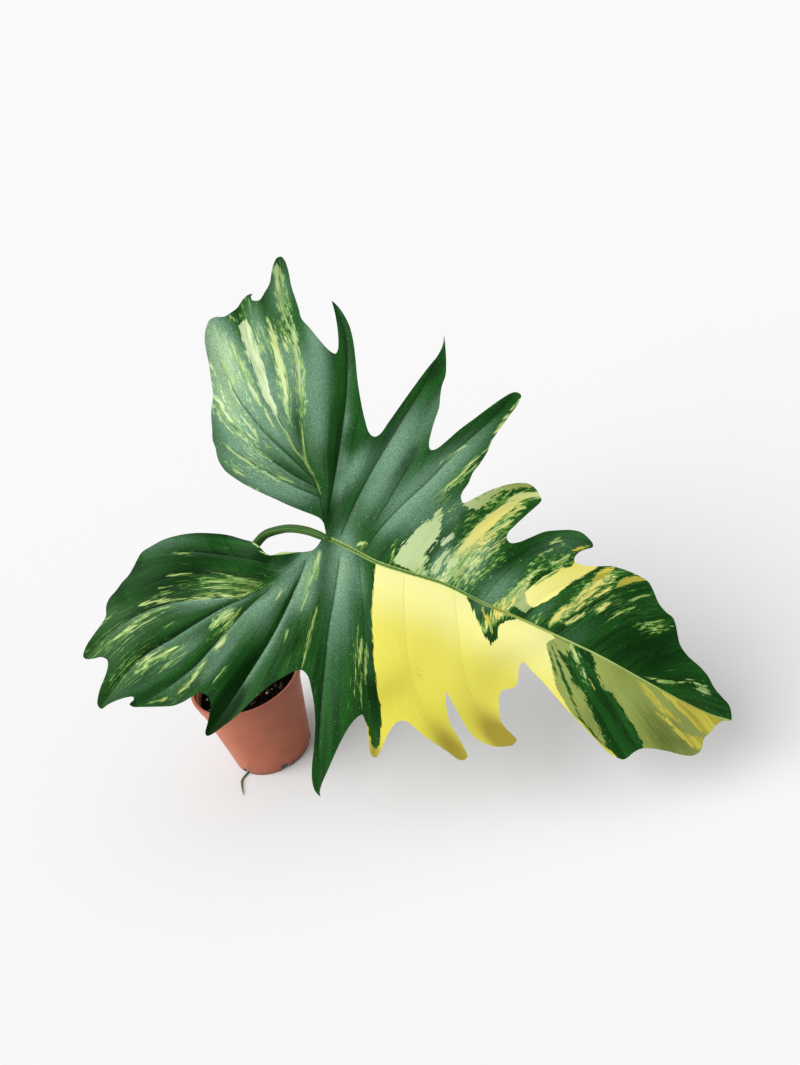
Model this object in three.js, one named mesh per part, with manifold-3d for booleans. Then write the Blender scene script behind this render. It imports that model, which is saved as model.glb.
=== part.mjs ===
// A potted hybrid philodendron: one large, deeply lobed leaf on an arching stalk, in a nursery pot.
// Millimetres, +Z up. The origin is the middle of the pot's underside, on the surface it stands on.
import * as THREE from 'three';
import { mergeVertices } from 'three/addons/utils/BufferGeometryUtils.js';
import Module from 'manifold-3d';

const wasm = await Module();
wasm.setup();

// Pot
const POT_HEIGHT = 92;
const POT_RIM_RADIUS = 52.5;
const POT_BASE_RADIUS = 38;
const POT_WALL = 1.6;
const POT_FLOOR = 2;
const POT_COLLAR_DEPTH = 10;
const POT_COLLAR_STEP = 1.4;
const POT_LIP = 1.6;
const POT_SIDES = 48;
const DRAIN_HOLES = 6;
const DRAIN_HOLE_RADIUS = 5;
const DRAIN_HOLE_HEIGHT = 6;
const DRAIN_CIRCLE_RADIUS = 35;
const DRAIN_FIRST_ANGLE = THREE.MathUtils.degToRad(230);

// Clearance between pieces that touch
const GAP = 0.3;

// Potting mix
const SOIL_TOP = 79;
const SOIL_MOUND = 2;
const PERLITE_GRAINS = 34;
const BARK_CHIPS = 16;
const GRAIN_SEED = 20;
const ROOT_HOLE_MARGIN = 8;

// Stem, aerial roots and growing tip
const STEM_RADIUS = 10;
const STEM_BOTTOM = 42;
const STEM_TOP = 116;
const STEM_RING_SPACING = 9;
const STEM_RING_RELIEF = 0.9;
const AERIAL_ROOT_RADIUS = 1.7;
const TIP_LENGTH = 38;
const TIP_RADIUS = 2.5;

// Leaf stalk
const PETIOLE_BASE_RADIUS = 5.8;
const PETIOLE_RADIUS = 3.5;

// Leaf blade
const BLADE_THICKNESS = 0.8;
const BLADE_DISTANCE = 640;
const BLADE_LEAN = THREE.MathUtils.degToRad(40);
const MIDRIB_THICKNESS = 6;
const MIDRIB_HALF_WIDTH = 3.6;
const VEIN_GROOVE = 4.5;
const VEIN_GROOVE_WIDTH = 12;
const CREST_STEP = 16;
const CREST_RAMP = 4;
const CREST_REACH = 70;
const EDGE_ROLL = 9;
const EDGE_ROLL_WIDTH = 6;
const SHAPE_RADIUS = 26;

// Spacing of the blade's mesh, in picture units
const EDGE_STEP = 11;
const VEIN_STEP = 13;
const FIELD_STEP = 14;
const EDGE_MARGIN = 6;
const VEIN_MARGIN = 7;

// Root that has grown out of a drain hole and lies on the surface
const DRAIN_ROOT_RADIUS = 0.9;

// The leaf is set out on the picture plane of an eye that looks at the plant, 800 by 1065 units.
const PICTURE_FOCAL = 800;
const PICTURE_CENTRE = { x: 400, y: 532.5 };
const LOOK_DOWN = THREE.MathUtils.degToRad(30);
const LOOK_ROLL = THREE.MathUtils.degToRad(14);
const RIM_CENTRE_PIXEL = { x: 245, y: 676 };
const RIM_CENTRE_DISTANCE = 750;

const viewForward = new THREE.Vector3(0, Math.cos(LOOK_DOWN), -Math.sin(LOOK_DOWN));
const viewLevelUp = new THREE.Vector3(0, Math.sin(LOOK_DOWN), Math.cos(LOOK_DOWN));
const viewRight = new THREE.Vector3(Math.cos(LOOK_ROLL), 0, 0)
  .addScaledVector(viewLevelUp, -Math.sin(LOOK_ROLL));
const viewUp = new THREE.Vector3(Math.sin(LOOK_ROLL), 0, 0)
  .addScaledVector(viewLevelUp, Math.cos(LOOK_ROLL));

function sightLine(x, y) {
  return viewForward.clone()
    .addScaledVector(viewRight, (x - PICTURE_CENTRE.x) / PICTURE_FOCAL)
    .addScaledVector(viewUp, -(y - PICTURE_CENTRE.y) / PICTURE_FOCAL);
}

const eye = new THREE.Vector3(0, 0, POT_HEIGHT)
  .addScaledVector(sightLine(RIM_CENTRE_PIXEL.x, RIM_CENTRE_PIXEL.y), -RIM_CENTRE_DISTANCE);

function picturePoint(x, y, distance) {
  return eye.clone().addScaledVector(sightLine(x, y), distance);
}

// Edge of the blade on the picture plane, clockwise from the stalk, lobe by lobe
const BLADE_EDGE = {
  upperBasalLobe: [
    [325.6, 534], [325, 529], [323.5, 523], [319.5, 518], [313, 514.8], [303, 511], [290, 505.8],
    [275, 499], [260, 492.2], [247, 485.8], [236, 479], [226, 471.5], [220, 463.5], [217, 456],
    [215.5, 448], [212.6, 440], [212.2, 430], [211.2, 418], [211.6, 406], [213.1, 396], [211.4, 382],
    [208.8, 364], [206, 350], [204.6, 338], [206, 328], [210, 319.5], [216, 316.9], [224, 316.6],
    [231, 312.5], [237, 308], [242, 300.5], [247, 295.3], [250.5, 294], [252.4, 293.7], [250.9, 296.2],
    [252.2, 300], [259, 300.2], [264.5, 292.5], [269.5, 283.5], [271.6, 272], [274.3, 262],
    [277.5, 257.3], [281.5, 256.7], [284.8, 260.5], [288.5, 272], [291, 285], [295, 297.5],
    [298.6, 308.5], [301.5, 318.5], [309, 327], [318, 338], [327, 348.3], [333, 353],
  ],
  firstLobe: [
    [335.6, 353.6], [338, 349], [338.4, 340], [337.3, 327], [334.8, 312], [333, 305.5], [331.8, 301],
    [337, 305.3], [343.5, 314], [349.5, 326], [353, 340], [355.3, 357], [357.5, 380], [361, 402],
    [365, 420], [368.5, 431.5], [372, 435.8],
  ],
  secondLobe: [
    [376, 436.5], [381, 433], [388, 423], [400, 406], [415, 385], [428, 367.5], [437, 356.5],
    [442, 347], [443.6, 341], [443.9, 335], [445.2, 345], [446.2, 362], [445.6, 375], [442, 385.5],
    [440.2, 397], [439.2, 407], [434.5, 421], [430.8, 434], [429, 445],
  ],
  thirdLobe: [
    [430.6, 449.8], [436, 449], [447, 440.5], [459, 430], [474, 418.8], [490, 406.8], [504, 397],
    [512, 392.7], [517, 392.2], [521.2, 395.2], [518, 403.5], [509, 416.5], [498, 431.5],
    [491.5, 441.5], [487.5, 451.5], [480, 463.5], [473, 472.5], [468.5, 483], [463, 491], [461, 497],
  ],
  fourthLobe: [
    [463.2, 503], [471, 500], [483, 493.5], [494, 488.7], [508, 484.5], [519, 483], [529, 484],
    [535, 488], [540.5, 497], [541.5, 500.5], [537, 505.5], [527, 514.3], [515, 525.5], [508.3, 532.5],
    [506.8, 538],
  ],
  fifthLobe: [
    [510, 542.7], [518, 542.3], [530, 537.6], [545, 531.6], [558, 530.2], [572, 530], [581, 532.2],
    [588, 537.5], [593, 544], [592.8, 547], [586, 549.2], [579, 552.4], [574.3, 558.5],
  ],
  leafTip: [
    [575.5, 562.3], [583, 565.4], [598, 566.2], [612, 566.3], [626, 570.2], [640, 576.3], [648.5, 582],
    [653.5, 591], [659, 603.5], [666, 612], [673, 617.7], [675.7, 624.5], [677.6, 634], [680.3, 645],
    [688, 656], [700, 666.7], [708, 676], [714.5, 688], [723, 698], [729.3, 705.5], [731.6, 716],
    [731, 720.9], [725, 720.3], [718, 723.8], [710, 732.5], [703.6, 739.3], [702.6, 746], [699.5, 752],
    [693, 755.5], [684, 755.3], [668, 751.3], [652, 748.6], [641, 748.8],
  ],
  sixthLobe: [
    [634, 752.2], [628, 757.3], [623.5, 759.5], [617, 757.6], [609, 753], [598, 742], [585, 728.5],
    [570, 713], [556, 697], [541, 680], [530, 669], [523.3, 662],
  ],
  seventhLobe: [
    [519.2, 666], [518.3, 678], [515.7, 686.2], [510, 688.6], [502.5, 690.2], [499.4, 695.5],
    [499, 708], [500.5, 720], [507, 729.5], [513.5, 735.8], [516.7, 739.5], [513.5, 744.7],
    [505, 746.5], [494, 746.3], [483, 742.5], [472, 734.8], [465, 725], [456, 709], [449.5, 697.3],
    [446.5, 692.3],
  ],
  eighthLobe: [
    [445.6, 700], [447.3, 712], [451, 726], [458, 736.5], [464.5, 748.5], [467.6, 756], [464.5, 759.9],
    [459, 759.7], [447, 751.3], [432, 741.5], [420, 732.5], [409, 722.8], [402, 720.6],
  ],
  ninthLobe: [
    [396, 723], [389.5, 731.5], [384, 743], [379.5, 753], [375.3, 757.6], [371, 754.5], [369, 744],
    [367.5, 729], [364.5, 719], [362, 714.6],
  ],
  tenthLobe: [
    [358, 716.6], [350, 725.5], [340, 743], [329, 767.5], [321.5, 784.5], [319.6, 793], [320.5, 796.6],
    [315, 791], [312, 780], [312, 766], [313.9, 747], [315.2, 725], [314.2, 706], [311.3, 689],
    [307.5, 675.5], [301.5, 670],
  ],
  eleventhLobe: [
    [295, 671], [285, 676], [274, 682.5], [262, 691.5], [248, 704.5], [236, 716.5], [224, 725.5],
    [213, 733.5], [207, 735.9], [205.3, 733.5], [208, 721], [210.4, 708], [210, 700], [205.5, 694.3],
    [200.5, 692.9],
  ],
  lowerBasalLobe: [
    [193, 696], [184, 701.5], [173, 705.8], [160, 706.6], [143, 707], [133, 706.8], [129.7, 704.6],
    [134, 699.5], [133, 696.9], [127, 697.3], [117, 700.3], [108, 704.3], [101, 708.8], [97.6, 705],
    [97.8, 697.5], [100.8, 686.5], [105.5, 675], [107.9, 665], [107, 659.7], [101, 657.1], [92, 658.8],
    [85.5, 658.8], [83.2, 656.5], [86, 646.5], [93, 635.5], [101, 624.5], [105.8, 616.5],
    [106.1, 606.5], [109, 598.8], [116.5, 590], [122, 582.3], [128.5, 575.3], [134, 566],
    [138.3, 557.5], [142, 552], [151, 546.3], [163, 539.8], [178, 535.3], [195, 533], [212, 533.2],
    [228, 535], [242, 539], [253, 542.2], [259.5, 547], [265, 552.5], [270.5, 555.3], [276, 553.8],
    [283, 551.9], [297, 552.3], [308, 551.3], [313.5, 549.5], [318, 545], [320.9, 540.3],
  ],
};

const MIDRIB = [
  [324.5, 537], [351, 549], [376, 562], [406, 572], [444.5, 584], [483, 603], [516, 617], [551, 633],
  [600, 656], [640, 678], [680, 700], [712, 715], [729, 720],
];

// Main veins on the picture plane, each from its root to its tip
const VEINS = [
  [[325, 530], [320.5, 500], [315, 481], [307, 464], [303, 440], [301.5, 401], [298, 355], [287, 315],
    [280, 262]],
  [[307, 463], [290, 440], [278, 416], [268, 394], [257, 365], [247, 335], [241, 308]],
  [[312, 478], [290, 457], [266, 434], [247, 411], [232, 388], [219, 350]],
  [[317, 487], [295, 476], [270, 459], [248, 441], [228, 419], [216, 398]],
  [[321, 497], [300, 489], [276, 477], [250, 462], [228, 445]],
  [[328, 513], [335, 475], [342, 430], [346, 395], [347, 360], [345, 335], [336, 308]],
  [[341, 534], [355, 503], [370, 474], [384, 450], [402, 420], [422, 388], [436, 362], [443, 343]],
  [[376, 520], [392, 494], [404, 474], [417, 452]],
  [[366, 546], [384, 524], [402, 505], [426, 483], [447, 461], [468, 440], [490, 421], [514, 398]],
  [[436, 580], [452, 556], [472, 534], [497, 516], [520, 503], [537, 499]],
  [[482, 601], [500, 578], [520, 561], [545, 548], [570, 541], [590, 545]],
  [[523, 617], [545, 596], [570, 582], [592, 572], [610, 568]],
  [[556, 633], [578, 618], [600, 600], [625, 588], [646, 583]],
  [[590, 650], [612, 636], [640, 623], [671, 619]],
  [[628, 669], [650, 655], [677, 645]],
  [[665, 688], [688, 680], [710, 684]],
  [[339, 560], [335, 590], [329, 625], [325, 660], [321, 700], [318, 745], [318, 788]],
  [[305, 562], [299, 580], [287, 607], [270, 640], [250, 672], [230, 702], [209, 732]],
  [[268, 590], [250, 606], [232, 625], [213, 646], [196, 665], [172, 684], [148, 698], [132, 704]],
  [[262, 588], [245, 598], [226, 606], [200, 621], [170, 640], [145, 655], [122, 678], [102, 705]],
  [[245, 595], [214, 598], [185, 600.5], [160, 606], [132, 618], [108, 636], [87, 655]],
  [[262, 577], [232, 575], [200, 573], [170, 577], [125, 594]],
  [[268, 562], [232, 556], [200, 552], [165, 553], [143, 558]],
  [[358, 556], [362, 600], [365, 640], [368, 680], [372, 715], [375, 753]],
  [[404, 576], [404, 612], [406, 645], [411, 675], [420, 702], [437, 730], [462, 757]],
  [[454, 591], [457, 623], [461, 656], [468, 685], [480, 710], [500, 730], [514, 741]],
  [[551, 634], [566, 660], [584, 690], [603, 722], [622, 756]],
  [[585, 650], [605, 680], [630, 715], [650, 746]],
  [[640, 679], [660, 703], [680, 727], [698, 750]],
  [[682, 702], [695, 714], [708, 730]],
];

// Line along which the front of the lower basal lobe stands forward of the part behind it
const CREST = [[321, 541], [310, 552], [297, 565], [275, 580], [252, 592], [235, 600]];

// Margin that rolls under, from left to right
const ROLLED_MARGIN = { left: 124, right: 176, y: 706.5 };

// How far the blade lies behind its own plane, in mm, at places on the picture plane
const BLADE_SHAPE = [
  [325, 537, 0], [400, 540, -4], [450, 560, -4], [430, 500, -4], [500, 600, -4], [560, 600, -4],
  [620, 630, -2], [400, 620, -4], [460, 660, -2], [350, 600, -4], [350, 660, 0], [300, 620, -4],
  [250, 640, 0], [200, 620, 0], [180, 580, 6], [520, 560, -2], [380, 480, -2], [300, 470, 0],
  [260, 440, 6], [212, 400, 16], [205, 335, 20], [250, 300, 18], [280, 258, 24], [270, 350, 6],
  [318, 400, -4], [333, 370, -6], [328, 440, -6], [350, 400, 6], [345, 350, 8], [334, 303, 14],
  [362, 425, 6], [385, 440, -2], [410, 400, 2], [444, 337, 16], [437, 400, 8], [431, 447, 3],
  [450, 440, 0], [490, 405, 6], [520, 395, 14], [490, 440, 8], [463, 495, 3], [500, 490, 2],
  [540, 500, 12], [510, 535, 4], [560, 532, 5], [593, 545, 14], [575, 562, 4], [650, 590, 6],
  [700, 670, 10], [731, 718, 26], [700, 750, 22], [650, 745, 10], [660, 690, 4], [623, 758, 16],
  [560, 695, 4], [516, 740, 16], [500, 700, 6], [465, 757, 16], [430, 720, 6], [375, 755, 14],
  [319, 795, 22], [325, 730, 8], [207, 735, 14], [255, 690, 6], [101, 707, 18], [84, 656, 20],
  [140, 560, 18], [200, 535, 20], [130, 703, 16], [160, 640, 4], [230, 620, -4], [260, 595, -8],
  [290, 575, -8], [310, 560, -4],
];

// Places on the picture plane, and lines on it

function smoothStep(from, to, value) {
  return THREE.MathUtils.smoothstep(value, from, to);
}

// Nearest place on a line: its distance, how far along it lies (0 to 1) and the side (+1 is the left)
function nearestOnLine(line, x, y) {
  const lengths = [0];
  for (let i = 1; i < line.length; i += 1) {
    lengths.push(lengths[i - 1] + Math.hypot(line[i][0] - line[i - 1][0], line[i][1] - line[i - 1][1]));
  }
  const nearest = { distance: Infinity, along: 0, side: 1 };
  for (let i = 1; i < line.length; i += 1) {
    const [ax, ay] = line[i - 1];
    const dx = line[i][0] - ax;
    const dy = line[i][1] - ay;
    const share = THREE.MathUtils.clamp(((x - ax) * dx + (y - ay) * dy) / (dx * dx + dy * dy), 0, 1);
    const distance = Math.hypot(x - ax - share * dx, y - ay - share * dy);
    if (distance < nearest.distance) {
      nearest.distance = distance;
      nearest.along = (lengths[i - 1] + share * Math.hypot(dx, dy)) / lengths.at(-1);
      nearest.side = dx * (y - ay) - dy * (x - ax) > 0 ? 1 : -1;
    }
  }
  return nearest;
}

function isInside(outline, x, y) {
  let inside = false;
  for (let i = 0, j = outline.length - 1; i < outline.length; j = i, i += 1) {
    const [ax, ay] = outline[i];
    const [bx, by] = outline[j];
    if ((ay > y) !== (by > y) && x < ((bx - ax) * (y - ay)) / (by - ay) + ax) {
      inside = !inside;
    }
  }
  return inside;
}

// Points along a line of given points, none further apart than the step
function linePoints(line, step, closed) {
  const curve = new THREE.CatmullRomCurve3(
    line.map(([x, y]) => new THREE.Vector3(x, y, 0)), closed, 'centripetal');
  const spans = closed ? line.length : line.length - 1;
  const points = [];
  for (let span = 0; span < spans; span += 1) {
    const [ax, ay] = line[span];
    const [bx, by] = line[(span + 1) % line.length];
    const parts = Math.ceil(Math.hypot(bx - ax, by - ay) / step);
    for (let part = 0; part < parts; part += 1) {
      const place = curve.getPoint((span + part / parts) / spans);
      points.push([place.x, place.y]);
    }
  }
  return points;
}

// Shape of the blade

const bladeAnchor = picturePoint(MIDRIB[0][0], MIDRIB[0][1], BLADE_DISTANCE);
const bladeNormal = new THREE.Vector3(0, -Math.cos(BLADE_LEAN), Math.sin(BLADE_LEAN));

function planeDistance(x, y) {
  return bladeNormal.dot(bladeAnchor.clone().sub(eye)) / bladeNormal.dot(sightLine(x, y));
}

function generalShape(x, y) {
  let total = 0;
  let weights = 0;
  for (const [px, py, behind] of BLADE_SHAPE) {
    const weight = Math.exp(-((x - px) ** 2 + (y - py) ** 2) / (2 * SHAPE_RADIUS ** 2)) + 1e-9;
    total += weight * behind;
    weights += weight;
  }
  return total / weights;
}

function grooveShape(x, y) {
  const distances = [MIDRIB, ...VEINS].map((line) => nearestOnLine(line, x, y).distance);
  return -VEIN_GROOVE * (1 - Math.exp(-Math.min(...distances) / VEIN_GROOVE_WIDTH));
}

function crestShape(x, y) {
  const place = nearestOnLine(CREST, x, y);
  if (place.side < 0) {
    return 0;
  }
  const height = CREST_STEP * Math.sin(Math.PI * place.along);
  return height * smoothStep(0, CREST_RAMP, place.distance) * Math.exp(-place.distance / CREST_REACH);
}

function rolledMarginShape(x, y) {
  const { left, right, y: marginY } = ROLLED_MARGIN;
  const middle = (left + right) / 2;
  const reach = 1 - smoothStep(0.5, 1, Math.abs(x - middle) / (right - middle));
  return EDGE_ROLL * reach * Math.exp(-Math.max(marginY - y, 0) / EDGE_ROLL_WIDTH);
}

function bladePoint(x, y) {
  const behind = generalShape(x, y) + grooveShape(x, y) + crestShape(x, y) + rolledMarginShape(x, y);
  return picturePoint(x, y, planeDistance(x, y) + behind);
}

function bladeThickness(x, y) {
  const place = nearestOnLine(MIDRIB, x, y);
  const height = MIDRIB_THICKNESS * (1 - place.along) ** 0.8;
  return BLADE_THICKNESS + height * Math.exp(-((place.distance / MIDRIB_HALF_WIDTH) ** 2));
}

// Triangles between scattered points, by adding one point at a time
function triangulate(points) {
  const far = 4000;
  const all = [...points, [-far, -far], [2 * far, -far], [-far, 2 * far]];
  const makeTriangle = (a, b, c) => {
    const [ax, ay] = all[a];
    const [bx, by] = all[b];
    const [cx, cy] = all[c];
    const double = 2 * (ax * (by - cy) + bx * (cy - ay) + cx * (ay - by));
    const a2 = ax * ax + ay * ay;
    const b2 = bx * bx + by * by;
    const c2 = cx * cx + cy * cy;
    const x = (a2 * (by - cy) + b2 * (cy - ay) + c2 * (ay - by)) / double;
    const y = (a2 * (cx - bx) + b2 * (ax - cx) + c2 * (bx - ax)) / double;
    return { corners: [a, b, c], x, y, reach: (x - ax) ** 2 + (y - ay) ** 2 };
  };
  let triangles = [makeTriangle(points.length, points.length + 1, points.length + 2)];
  points.forEach(([x, y], index) => {
    const open = new Map();
    const kept = [];
    for (const triangle of triangles) {
      if ((triangle.x - x) ** 2 + (triangle.y - y) ** 2 >= triangle.reach) {
        kept.push(triangle);
        continue;
      }
      const [a, b, c] = triangle.corners;
      for (const [from, to] of [[a, b], [b, c], [c, a]]) {
        const key = `${Math.min(from, to)},${Math.max(from, to)}`;
        if (open.has(key)) {
          open.delete(key);
        } else {
          open.set(key, [from, to]);
        }
      }
    }
    for (const [from, to] of open.values()) {
      kept.push(makeTriangle(from, to, index));
    }
    triangles = kept;
  });
  return triangles.map(({ corners }) => corners).filter((corners) => Math.max(...corners) < points.length);
}

// Numbers between 0 and 1 that come out the same each time
function makeRandom(seed) {
  let state = seed;
  return () => {
    state = (state * 1664525 + 1013904223) % 4294967296;
    return state / 4294967296;
  };
}

function bladeMeshPoints(outline) {
  const veinPoints = [];
  const lines = [MIDRIB, ...VEINS];
  const beside = (line, offset) => line.slice(0, -1).map(([x, y], i) => {
    const length = Math.hypot(line[i + 1][0] - x, line[i + 1][1] - y);
    return [x - ((line[i + 1][1] - y) / length) * offset, y + ((line[i + 1][0] - x) / length) * offset];
  });
  const crestBack = beside(CREST, CREST_RAMP);
  const guides = [...lines, CREST, crestBack, beside(MIDRIB, EDGE_MARGIN), beside(MIDRIB, -EDGE_MARGIN)];
  const isClear = (list, x, y, distance) => list.every(([px, py]) => Math.hypot(px - x, py - y) > distance);
  for (const line of guides) {
    for (const [x, y] of linePoints(line, VEIN_STEP, false)) {
      if (isInside(outline, x, y) && isClear(outline, x, y, CREST_RAMP) && isClear(veinPoints, x, y, 3)) {
        veinPoints.push([x, y]);
      }
    }
  }
  const fieldPoints = [];
  const random = makeRandom(1);
  const rowStep = FIELD_STEP * Math.sqrt(0.75);
  for (let row = 0; row * rowStep < 560; row += 1) {
    for (let column = 0; column * FIELD_STEP < 660; column += 1) {
      const x = 80 + (column + (row % 2) / 2) * FIELD_STEP + random();
      const y = 250 + row * rowStep + random();
      const clear = isClear(outline, x, y, EDGE_MARGIN) && isClear(veinPoints, x, y, VEIN_MARGIN);
      if (isInside(outline, x, y) && clear) {
        fieldPoints.push([x, y]);
      }
    }
  }
  return [...outline, ...veinPoints, ...fieldPoints];
}

// A thin sheet: a front surface, the same triangles behind it, and a wall round the edge
function sheetGeometry(front, triangles, thicknesses) {
  const normals = front.map(() => new THREE.Vector3());
  for (const [a, b, c] of triangles) {
    const across = front[b].clone().sub(front[a]).cross(front[c].clone().sub(front[a]));
    for (const corner of [a, b, c]) {
      normals[corner].add(across);
    }
  }
  const back = front.map((place, i) => {
    return place.clone().addScaledVector(normals[i].normalize(), -thicknesses[i]);
  });
  const count = front.length;
  const index = [];
  const edges = new Map();
  for (const [a, b, c] of triangles) {
    index.push(a, b, c, a + count, c + count, b + count);
    for (const [from, to] of [[a, b], [b, c], [c, a]]) {
      if (!edges.delete(`${to},${from}`)) {
        edges.set(`${from},${to}`, [from, to]);
      }
    }
  }
  for (const [from, to] of edges.values()) {
    index.push(to, from, from + count, to, from + count, to + count);
  }
  const geometry = new THREE.BufferGeometry();
  const places = [...front, ...back].flatMap((place) => place.toArray());
  geometry.setAttribute('position', new THREE.Float32BufferAttribute(places, 3));
  geometry.setIndex(index);
  geometry.computeVertexNormals();
  return geometry;
}

// Round stems and roots: a closed tube along a curve, with its radius at even places along it
function tubeGeometry(curve, radii, steps, sides) {
  const frames = curve.computeFrenetFrames(steps, false);
  const places = [];
  const index = [];
  for (let ring = 0; ring <= steps; ring += 1) {
    const position = (ring / steps) * (radii.length - 1);
    const first = Math.min(Math.floor(position), radii.length - 2);
    const radius = THREE.MathUtils.lerp(radii[first], radii[first + 1], position - first);
    const centre = curve.getPointAt(ring / steps);
    for (let side = 0; side < sides; side += 1) {
      const angle = (side / sides) * 2 * Math.PI;
      places.push(centre.clone()
        .addScaledVector(frames.normals[ring], radius * Math.cos(angle))
        .addScaledVector(frames.binormals[ring], radius * Math.sin(angle)));
    }
  }
  for (let ring = 0; ring < steps; ring += 1) {
    for (let side = 0; side < sides; side += 1) {
      const a = ring * sides + side;
      const b = ring * sides + ((side + 1) % sides);
      index.push(a, b, a + sides, b, b + sides, a + sides);
    }
  }
  const last = steps * sides;
  for (let side = 1; side < sides - 1; side += 1) {
    index.push(0, side + 1, side, last, last + side, last + side + 1);
  }
  const geometry = new THREE.BufferGeometry();
  const numbers = places.flatMap((place) => place.toArray());
  geometry.setAttribute('position', new THREE.Float32BufferAttribute(numbers, 3));
  geometry.setIndex(index);
  return geometry;
}

function curveThrough(points) {
  const places = points.map((point) => new THREE.Vector3(...point));
  return new THREE.CatmullRomCurve3(places, false, 'centripetal');
}

// Solids that are cut and joined

function signedVolume(places, index) {
  let total = 0;
  const [a, b, c] = [new THREE.Vector3(), new THREE.Vector3(), new THREE.Vector3()];
  for (let i = 0; i < index.length; i += 3) {
    a.fromBufferAttribute(places, index[i]);
    b.fromBufferAttribute(places, index[i + 1]);
    c.fromBufferAttribute(places, index[i + 2]);
    total += a.dot(b.cross(c));
  }
  return total / 6;
}

function toSolid(geometry) {
  const bare = geometry.clone();
  bare.deleteAttribute('normal');
  bare.deleteAttribute('uv');
  const merged = mergeVertices(bare, 1e-3);
  const places = merged.getAttribute('position');
  const index = Array.from(merged.index.array);
  if (signedVolume(places, index) < 0) {
    index.reverse();
  }
  return new wasm.Manifold(new wasm.Mesh({
    numProp: 3,
    vertProperties: new Float32Array(places.array),
    triVerts: new Uint32Array(index),
  }));
}

function toGeometry(solid) {
  const { vertProperties, triVerts } = solid.getMesh();
  const geometry = new THREE.BufferGeometry();
  geometry.setAttribute('position', new THREE.BufferAttribute(vertProperties, 3));
  geometry.setIndex(new THREE.BufferAttribute(triVerts, 1));
  geometry.computeVertexNormals();
  return geometry;
}

// A turned solid from a profile of [radius, height] that starts and ends on the axis or closes on itself
function turnedGeometry(profile, sides) {
  const outline = profile.map(([radius, height]) => new THREE.Vector2(radius, height));
  return new THREE.LatheGeometry(outline, sides).rotateX(Math.PI / 2);
}

function cylinderGeometry(radius, bottom, top, sides) {
  return turnedGeometry([[0, bottom], [radius, bottom], [radius, top], [0, top]], sides);
}

function material(color, roughness) {
  return new THREE.MeshStandardMaterial({ color, roughness, metalness: 0 });
}

function namedMesh(name, geometry, finish) {
  const mesh = new THREE.Mesh(geometry, finish);
  mesh.name = name;
  return mesh;
}

// Pot

const potCollarBottom = POT_HEIGHT - POT_COLLAR_DEPTH;
const potCollarRadius = POT_RIM_RADIUS - POT_LIP;

function potOuterRadius(height) {
  const top = potCollarRadius - POT_COLLAR_STEP;
  return THREE.MathUtils.lerp(POT_BASE_RADIUS, top, height / potCollarBottom);
}

function potInnerRadius(height) {
  return potOuterRadius(height) - POT_WALL;
}

function makePot() {
  const corner = 1.5;
  const ledge = 1.2;
  const lipHeight = 2.4;
  const innerTop = potCollarRadius - POT_WALL;
  const profile = [
    [0, 0], [POT_BASE_RADIUS - corner, 0], [potOuterRadius(corner), corner],
    [potOuterRadius(potCollarBottom), potCollarBottom], [potCollarRadius, potCollarBottom + ledge],
    [potCollarRadius, POT_HEIGHT - lipHeight], [POT_RIM_RADIUS, POT_HEIGHT - lipHeight + 0.6],
    [POT_RIM_RADIUS, POT_HEIGHT - 0.8], [POT_RIM_RADIUS - 0.8, POT_HEIGHT], [innerTop + 0.6, POT_HEIGHT],
    [innerTop, POT_HEIGHT - 0.8], [innerTop, potCollarBottom + 2 * ledge],
    [potInnerRadius(potCollarBottom), potCollarBottom + ledge], [potInnerRadius(POT_FLOOR), POT_FLOOR],
    [0, POT_FLOOR],
  ];
  let pot = toSolid(turnedGeometry(profile, POT_SIDES));
  for (let hole = 0; hole < DRAIN_HOLES; hole += 1) {
    const angle = DRAIN_FIRST_ANGLE + (hole / DRAIN_HOLES) * 2 * Math.PI;
    const cutter = cylinderGeometry(DRAIN_HOLE_RADIUS, -1, DRAIN_HOLE_HEIGHT, 16)
      .translate(DRAIN_CIRCLE_RADIUS * Math.cos(angle), DRAIN_CIRCLE_RADIUS * Math.sin(angle), 0);
    pot = pot.subtract(toSolid(cutter));
  }
  return namedMesh('pot', toGeometry(pot), material('#9c5f49', 0.55));
}

// Stem with its aerial roots

const AERIAL_ROOTS = [
  { angle: 20, start: 100, reach: 17, end: 70 },
  { angle: 150, start: 94, reach: 19, end: 68 },
  { angle: 265, start: 104, reach: 21, end: 70 },
];

function aerialRootCurve({ angle, start, reach, end }) {
  const turn = THREE.MathUtils.degToRad(angle);
  const place = (radius, height) => [radius * Math.cos(turn), radius * Math.sin(turn), height];
  const shoulder = (start + SOIL_TOP) / 2 + 3;
  return curveThrough([
    place(STEM_RADIUS / 2, start), place(STEM_RADIUS + 1, start - 2), place(reach - 1, shoulder),
    place(reach, SOIL_TOP - 1), place(reach, end),
  ]);
}

function makeStem() {
  const profile = [[0, STEM_BOTTOM]];
  for (let height = STEM_BOTTOM; height < STEM_TOP - 2; height += STEM_RING_SPACING / 3) {
    const ring = Math.cos((height - STEM_TOP) * ((2 * Math.PI) / STEM_RING_SPACING)) ** 4;
    const relief = height > SOIL_TOP + STEM_RING_SPACING / 3 ? STEM_RING_RELIEF * ring : 0;
    profile.push([STEM_RADIUS - STEM_RING_RELIEF + relief, height]);
  }
  profile.push([STEM_RADIUS - STEM_RING_RELIEF, STEM_TOP], [0, STEM_TOP]);
  let stem = toSolid(turnedGeometry(profile, 20));
  for (const root of AERIAL_ROOTS) {
    const radii = [AERIAL_ROOT_RADIUS * 1.2, AERIAL_ROOT_RADIUS, AERIAL_ROOT_RADIUS * 0.8];
    stem = stem.add(toSolid(tubeGeometry(aerialRootCurve(root), radii, 10, 8)));
  }
  return namedMesh('stem', toGeometry(stem), material('#5d6b35', 0.7));
}

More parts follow.
